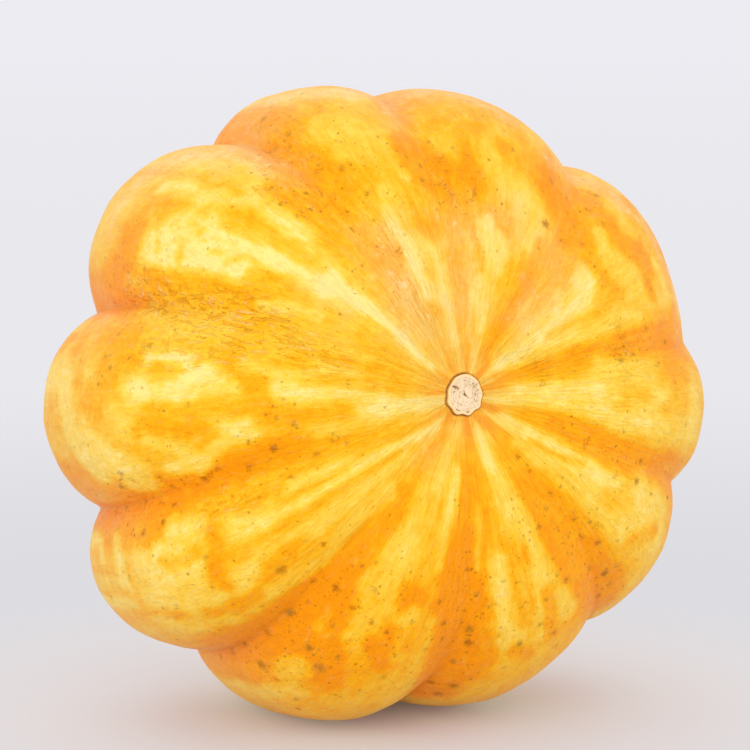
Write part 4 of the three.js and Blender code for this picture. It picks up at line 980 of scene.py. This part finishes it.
    out = g.add("ShaderNodeOutputMaterial")
    b = g.add("ShaderNodeBsdfPrincipled")
    g.link(colour, b.inputs["Base Color"])
    g.link(rough, b.inputs["Roughness"])
    g.link(bump.outputs["Normal"], b.inputs["Normal"])
    b.inputs["IOR"].default_value = 1.31
    b.inputs["Specular Tint"].default_value = (1.0, 0.78, 0.30, 1.0)
    b.inputs["Sheen Weight"].default_value = 0.06
    b.inputs["Sheen Roughness"].default_value = 0.35
    b.inputs["Sheen Tint"].default_value = (1.0, 0.78, 0.52, 1.0)
    b.inputs["Subsurface Weight"].default_value = 0.08
    b.inputs["Subsurface Radius"].default_value = (1.0, 0.45, 0.12)
    b.inputs["Subsurface Scale"].default_value = 0.0015
    g.link(b.outputs["BSDF"], out.inputs["Surface"])
    return g.mat


def stem_material():
    g = Nodes("cut_stem_cork")
    obj = g.add("ShaderNodeTexCoord").outputs["Object"]
    shade = g.attr("shade").outputs["Fac"]    # 0 dark pit or slit, 0.5 cork, 1 pale rim
    side = g.attr("side").outputs["Fac"]
    cork = g.noise(obj, 2600.0, 3.0, 0.65)
    patch = g.noise(obj, 700.0, 2.0, 0.5)
    face = g.ramp(g.math("ADD", shade, g.math("ADD", g.signed(cork, 0.85), g.signed(patch, 0.40)), clamp=True), [
        (0.00, srgb(142, 104, 58)),
        (0.20, srgb(186, 150, 104)),
        (0.38, srgb(226, 196, 154)),
        (0.56, srgb(240, 214, 176)),
        (0.80, srgb(248, 216, 160)),
        (1.00, srgb(250, 210, 142)),
    ])
    flank = g.mix(g.noise(obj, 1500.0, 3.0, 0.6), srgb(206, 152, 78), srgb(234, 188, 116))
    colour = g.mix(side, face, flank)
    height = g.math("ADD", g.math("MULTIPLY", cork, 0.6), g.math("MULTIPLY", g.noise(obj, 6000.0, 2.0, 0.5), 0.4))
    bump = g.add("ShaderNodeBump", in_Strength=0.6, in_Distance=0.00012)
    g.link(height, bump.inputs["Height"])
    out = g.add("ShaderNodeOutputMaterial")
    b = g.add("ShaderNodeBsdfPrincipled")
    g.link(colour, b.inputs["Base Color"])
    g.link(g.range(cork, 0.3, 0.7, 0.72, 0.9), b.inputs["Roughness"])
    g.link(bump.outputs["Normal"], b.inputs["Normal"])
    b.inputs["IOR"].default_value = 1.35
    g.link(b.outputs["BSDF"], out.inputs["Surface"])
    return g.mat


fm.materials.append(skin_material())
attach(fruit, "root")
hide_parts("fruit")

# ---- the cut stem ------------------------------------------------------------------
COLS = 216
ang = np.arange(COLS) / COLS * TAU
outer = stem_outline(ang)
# rings of the cut face as shares of the outline, then down the side in mm
face_r = np.concatenate([np.linspace(0.03, 0.90, 42), [0.915, 0.93, 0.945, 0.958, 0.97, 0.98, 0.988, 0.994]])
top = POLE + STEM_PROUD
AA, RR = np.meshgrid(ang, face_r)
u0, v0 = RR * outer * np.cos(AA), RR * outer * np.sin(AA)
flat3 = np.stack([u0.ravel(), v0.ravel(), np.zeros(u0.size)], -1)
rough_face = (0.030 * layered(flat3 / 0.45, 71, 3) + 0.035 * layered(flat3 / 1.4, 79, 2)).reshape(u0.shape)
shade = np.full(u0.shape, 0.55)
dip = np.zeros(u0.shape)
# the rind of the stem, a pale raised edge
edge_at = 0.875 + 0.03 * noise(np.stack([3 * np.cos(AA).ravel(), 3 * np.sin(AA).ravel(), np.zeros(AA.size)], -1), 83).reshape(AA.shape)
rim = step(edge_at - 0.05, edge_at + 0.02, RR)
shade = shade - 0.06 + 0.40 * rim
dip = dip + 0.07 * rim - 0.05 * np.exp(-(((RR - edge_at + 0.035) / 0.02) ** 2))
# strands cut across: rings of small pits
rng = np.random.default_rng(7)
for ring_r, count, size in ((0.80, 34, 0.10), (0.68, 26, 0.09), (0.52, 20, 0.10), (0.36, 12, 0.08)):
    for i in range(count):
        a = (i + rng.uniform(-0.4, 0.4)) / count * TAU
        r = ring_r + rng.uniform(-0.03, 0.03)
        size_here, dark = size * rng.uniform(0.8, 1.9), rng.uniform(0.15, 0.6) * (rng.uniform() < 0.85)
        o = np.interp(a, ang, outer, period=TAU)
        du, dv = u0 - r * o * math.cos(a), v0 - r * o * math.sin(a)
        along_t = -du * math.sin(a) + dv * math.cos(a)
        along_r = du * math.cos(a) + dv * math.sin(a)
        m = np.exp(-((along_t / (size_here * 1.9)) ** 2 + (along_r / size_here) ** 2))
        shade, dip = shade - dark * 0.34 * m, dip - 0.03 * dark * m
# darker spots that show at arm's length, mm from the middle
for pu, pv, size, dark in ((-1.9, 1.5, 0.22, 0.35), (-1.3, 1.1, 0.26, 0.35), (1.7, 1.8, 0.16, 0.55), (-1.8, -2.5, 0.17, 0.6), (-1.5, -2.75, 0.15, 0.5),
                           (0.35, -3.1, 0.20, 0.6), (0.1, -3.3, 0.12, 0.5), (-2.6, -1.5, 0.12, 0.3), (1.9, 0.0, 0.13, 0.35), (2.2, 0.3, 0.11, 0.3),
                           (-1.6, -1.4, 0.14, 0.35), (-0.2, 1.0, 0.2, 0.25), (0.9, 1.2, 0.16, 0.25), (-2.1, 0.6, 0.16, 0.3)):
    m = np.exp(-(((u0 - pu) / (1.3 * size)) ** 2 + ((v0 - pv) / (1.1 * size)) ** 2))
    shade, dip = shade - 0.7 * dark * m, dip - 0.05 * m
# faint growth rings
shade = shade + 0.035 * np.sin(RR * 44 + 1.5 * noise(flat3 / 1.2, 89).reshape(RR.shape)) * (1 - rim)
# two notches in the edge and the slit in the middle
for a0, wide, reach in ((2.52, 0.035, 0.70), (0.60, 0.03, 0.74), (4.0, 0.02, 0.86), (5.4, 0.02, 0.86)):
    gap = np.angle(np.exp(1j * (AA - a0 - 0.05 * np.sin(RR * 30)))) / wide
    m = np.exp(-gap ** 2) * step(reach - 0.03, reach + 0.06, RR)
    shade, dip = shade - 0.42 * m, dip - 0.10 * m
for (ua, va), (ub, vb), size, dark in (
        ((-0.2, 0.6), (-0.1, -0.05), 0.14, 0.42), ((-0.1, 0.05), (0.5, -0.6), 0.15, 0.42), ((-0.5, 0.1), (-0.15, 0.0), 0.12, 0.3),
        ((-2.7, 1.75), (-1.45, 1.3), 0.15, 0.28), ((1.45, 0.55), (1.55, -0.45), 0.12, 0.2), ((1.95, 0.6), (2.05, -0.4), 0.12, 0.2),
        ((2.4, 1.8), (1.6, 1.3), 0.13, 0.24)):
    d = np.array([ub - ua, vb - va])
    tt = np.clip(((u0 - ua) * d[0] + (v0 - va) * d[1]) / (d @ d), 0, 1)
    m = np.exp(-(np.hypot(u0 - ua - tt * d[0], v0 - va - tt * d[1]) / size) ** 2)
    shade, dip = shade - dark * m, dip - 0.3 * dark * m
round_off = -0.42 * (1 - np.sqrt(np.clip(1 - np.clip((RR - 0.88) / 0.12, 0, 1) ** 2, 0, 1)))
rings = [np.stack([u0, v0, top + rough_face + dip + round_off], -1)]
# the side: strands run down it
depth = np.concatenate([np.linspace(0.44, 1.0, 10), [1.3, 1.6, 2.0, 2.4]])
AS, DS = np.meshgrid(ang, depth)
strand = 1 - 0.012 * (0.5 + 0.5 * np.cos(27 * AS + 2 * np.sin(5 * AS))) - 0.010 * DS / 2.4
rings.append(np.stack([strand * outer * np.cos(AS), strand * outer * np.sin(AS), top - DS], -1))
pts = np.vstack(rings)
stem = grid_mesh("stem_cut", stand(pts))
sm = stem.data
store(sm, "shade", np.concatenate([shade.ravel(), np.full(AS.size, 0.5), [shade[0].mean(), 0.5]]))
side = np.concatenate([step(0.965, 0.998, RR).ravel(), np.ones(AS.size), [0, 1]])
store(sm, "side", side)
sm.materials.append(stem_material())
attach(stem, "root")
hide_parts("cut_stem")

# ---- stage, light, camera --------------------------------------------------------
CAMERA_AZ, CAMERA_EL = 0.43252, 0.13963
back_v = Vector((-math.sin(CAMERA_AZ) * math.cos(CAMERA_EL), -math.cos(CAMERA_AZ) * math.cos(CAMERA_EL), math.sin(CAMERA_EL)))
right_v = Vector((math.cos(CAMERA_AZ), -math.sin(CAMERA_AZ), 0))
up_v = back_v.cross(right_v)
cam_data = bpy.data.cameras.new("camera")
cam = bpy.data.objects.new("camera", cam_data)
bpy.context.scene.collection.objects.link(cam)
bpy.context.scene.camera = cam
cam_data.sensor_width = 36.0
cam_data.lens = 168.0
cam_data.clip_start, cam_data.clip_end = 0.01, 50.0
spot = Vector([float(v) for v in ORIGIN * MM]) + back_v * 0.65 + right_v * 0.00019684 + up_v * 0.00293717
cam.matrix_world = Matrix.Translation(spot) @ Matrix((right_v, up_v, back_v)).transposed().to_4x4()


def area(name, azimuth, elevation, distance, size_x, size_y, share, colour=(1, 1, 1)):
    """A soft box aimed at the fruit; azimuth 0 is in front of the stem end, share 1 lights white paper white."""
    az, el = math.radians(azimuth), math.radians(elevation)
    data = bpy.data.lights.new(name, "AREA")
    data.shape = "RECTANGLE"
    data.size, data.size_y, data.color = size_x, size_y, colour
    data.energy = math.pi ** 2 * distance ** 2 * share
    obj = bpy.data.objects.new(name, data)
    bpy.context.scene.collection.objects.link(obj)
    target = Vector((0, 0, 0.058))
    out_v = Vector((math.sin(az) * math.cos(el), -math.cos(az) * math.cos(el), math.sin(el)))
    obj.location = target + out_v * distance
    obj.rotation_mode = "QUATERNION"
    obj.rotation_quaternion = (-out_v).to_track_quat("-Z", "Y")
    return obj


area("softbox_front", -24, 34, 1.15, 1.3, 0.9, 0.20)
area("softbox_top", 165, 50, 1.15, 1.4, 1.0, 0.31)
area("fill_left", -85, 14, 1.3, 1.2, 0.6, 0.17)
area("fill_right", 55, 12, 1.3, 1.2, 0.6, 0.20)
area("fill_low", -25, 8, 1.4, 1.6, 0.36, 0.24)

world = bpy.data.worlds.new("studio")
bpy.context.scene.world = world
world.use_nodes = True
bg = world.node_tree.nodes["Background"]
bg.inputs["Color"].default_value = srgb(236, 235, 241)
bg.inputs["Strength"].default_value = 0.90

# floor: a wide pale sheet that melts into the pale surroundings; it is lit close to the fruit and glows further out
fl = bpy.data.meshes.new("floor")
ring = [(8 * math.cos(a), 8 * math.sin(a), -0.00004) for a in np.linspace(0, TAU, 96, endpoint=False)]
fl.from_pydata(ring, [], [list(range(96))])
floor = bpy.data.objects.new("floor", fl)
bpy.context.scene.collection.objects.link(floor)
g = Nodes("floor_glow_and_painted_shadow")
dist = g.length(g.add("ShaderNodeTexCoord").outputs["Object"])
fade = g.range(dist, -0.02, 0.14)
near_b = g.add("ShaderNodeBsdfDiffuse")
near_b.inputs["Color"].default_value = srgb(219, 220, 225)
far_e = g.add("ShaderNodeEmission")
# painted shadow and painted bounce: the glow is warm close to the fruit, darker in a ring round it, then lighter
# outwards
paper = g.mix(g.range(dist, 0.05, 0.12), srgb(228, 221, 220), srgb(221, 220, 224))
paper = g.mix(g.range(dist, 0.12, 0.45), paper, srgb(233, 232, 237))
g.link(g.mix(g.range(dist, 0.5, 3.0), paper, srgb(237, 236, 242)), far_e.inputs["Color"])
mixs = g.add("ShaderNodeMixShader")
g.link(fade, mixs.inputs[0])
g.link(near_b.outputs[0], mixs.inputs[1])
g.link(far_e.outputs[0], mixs.inputs[2])
g.link(mixs.outputs[0], g.add("ShaderNodeOutputMaterial").inputs["Surface"])
fl.materials.append(g.mat)

view = bpy.context.scene.view_settings
view.view_transform = "Standard"
view.look = "None"
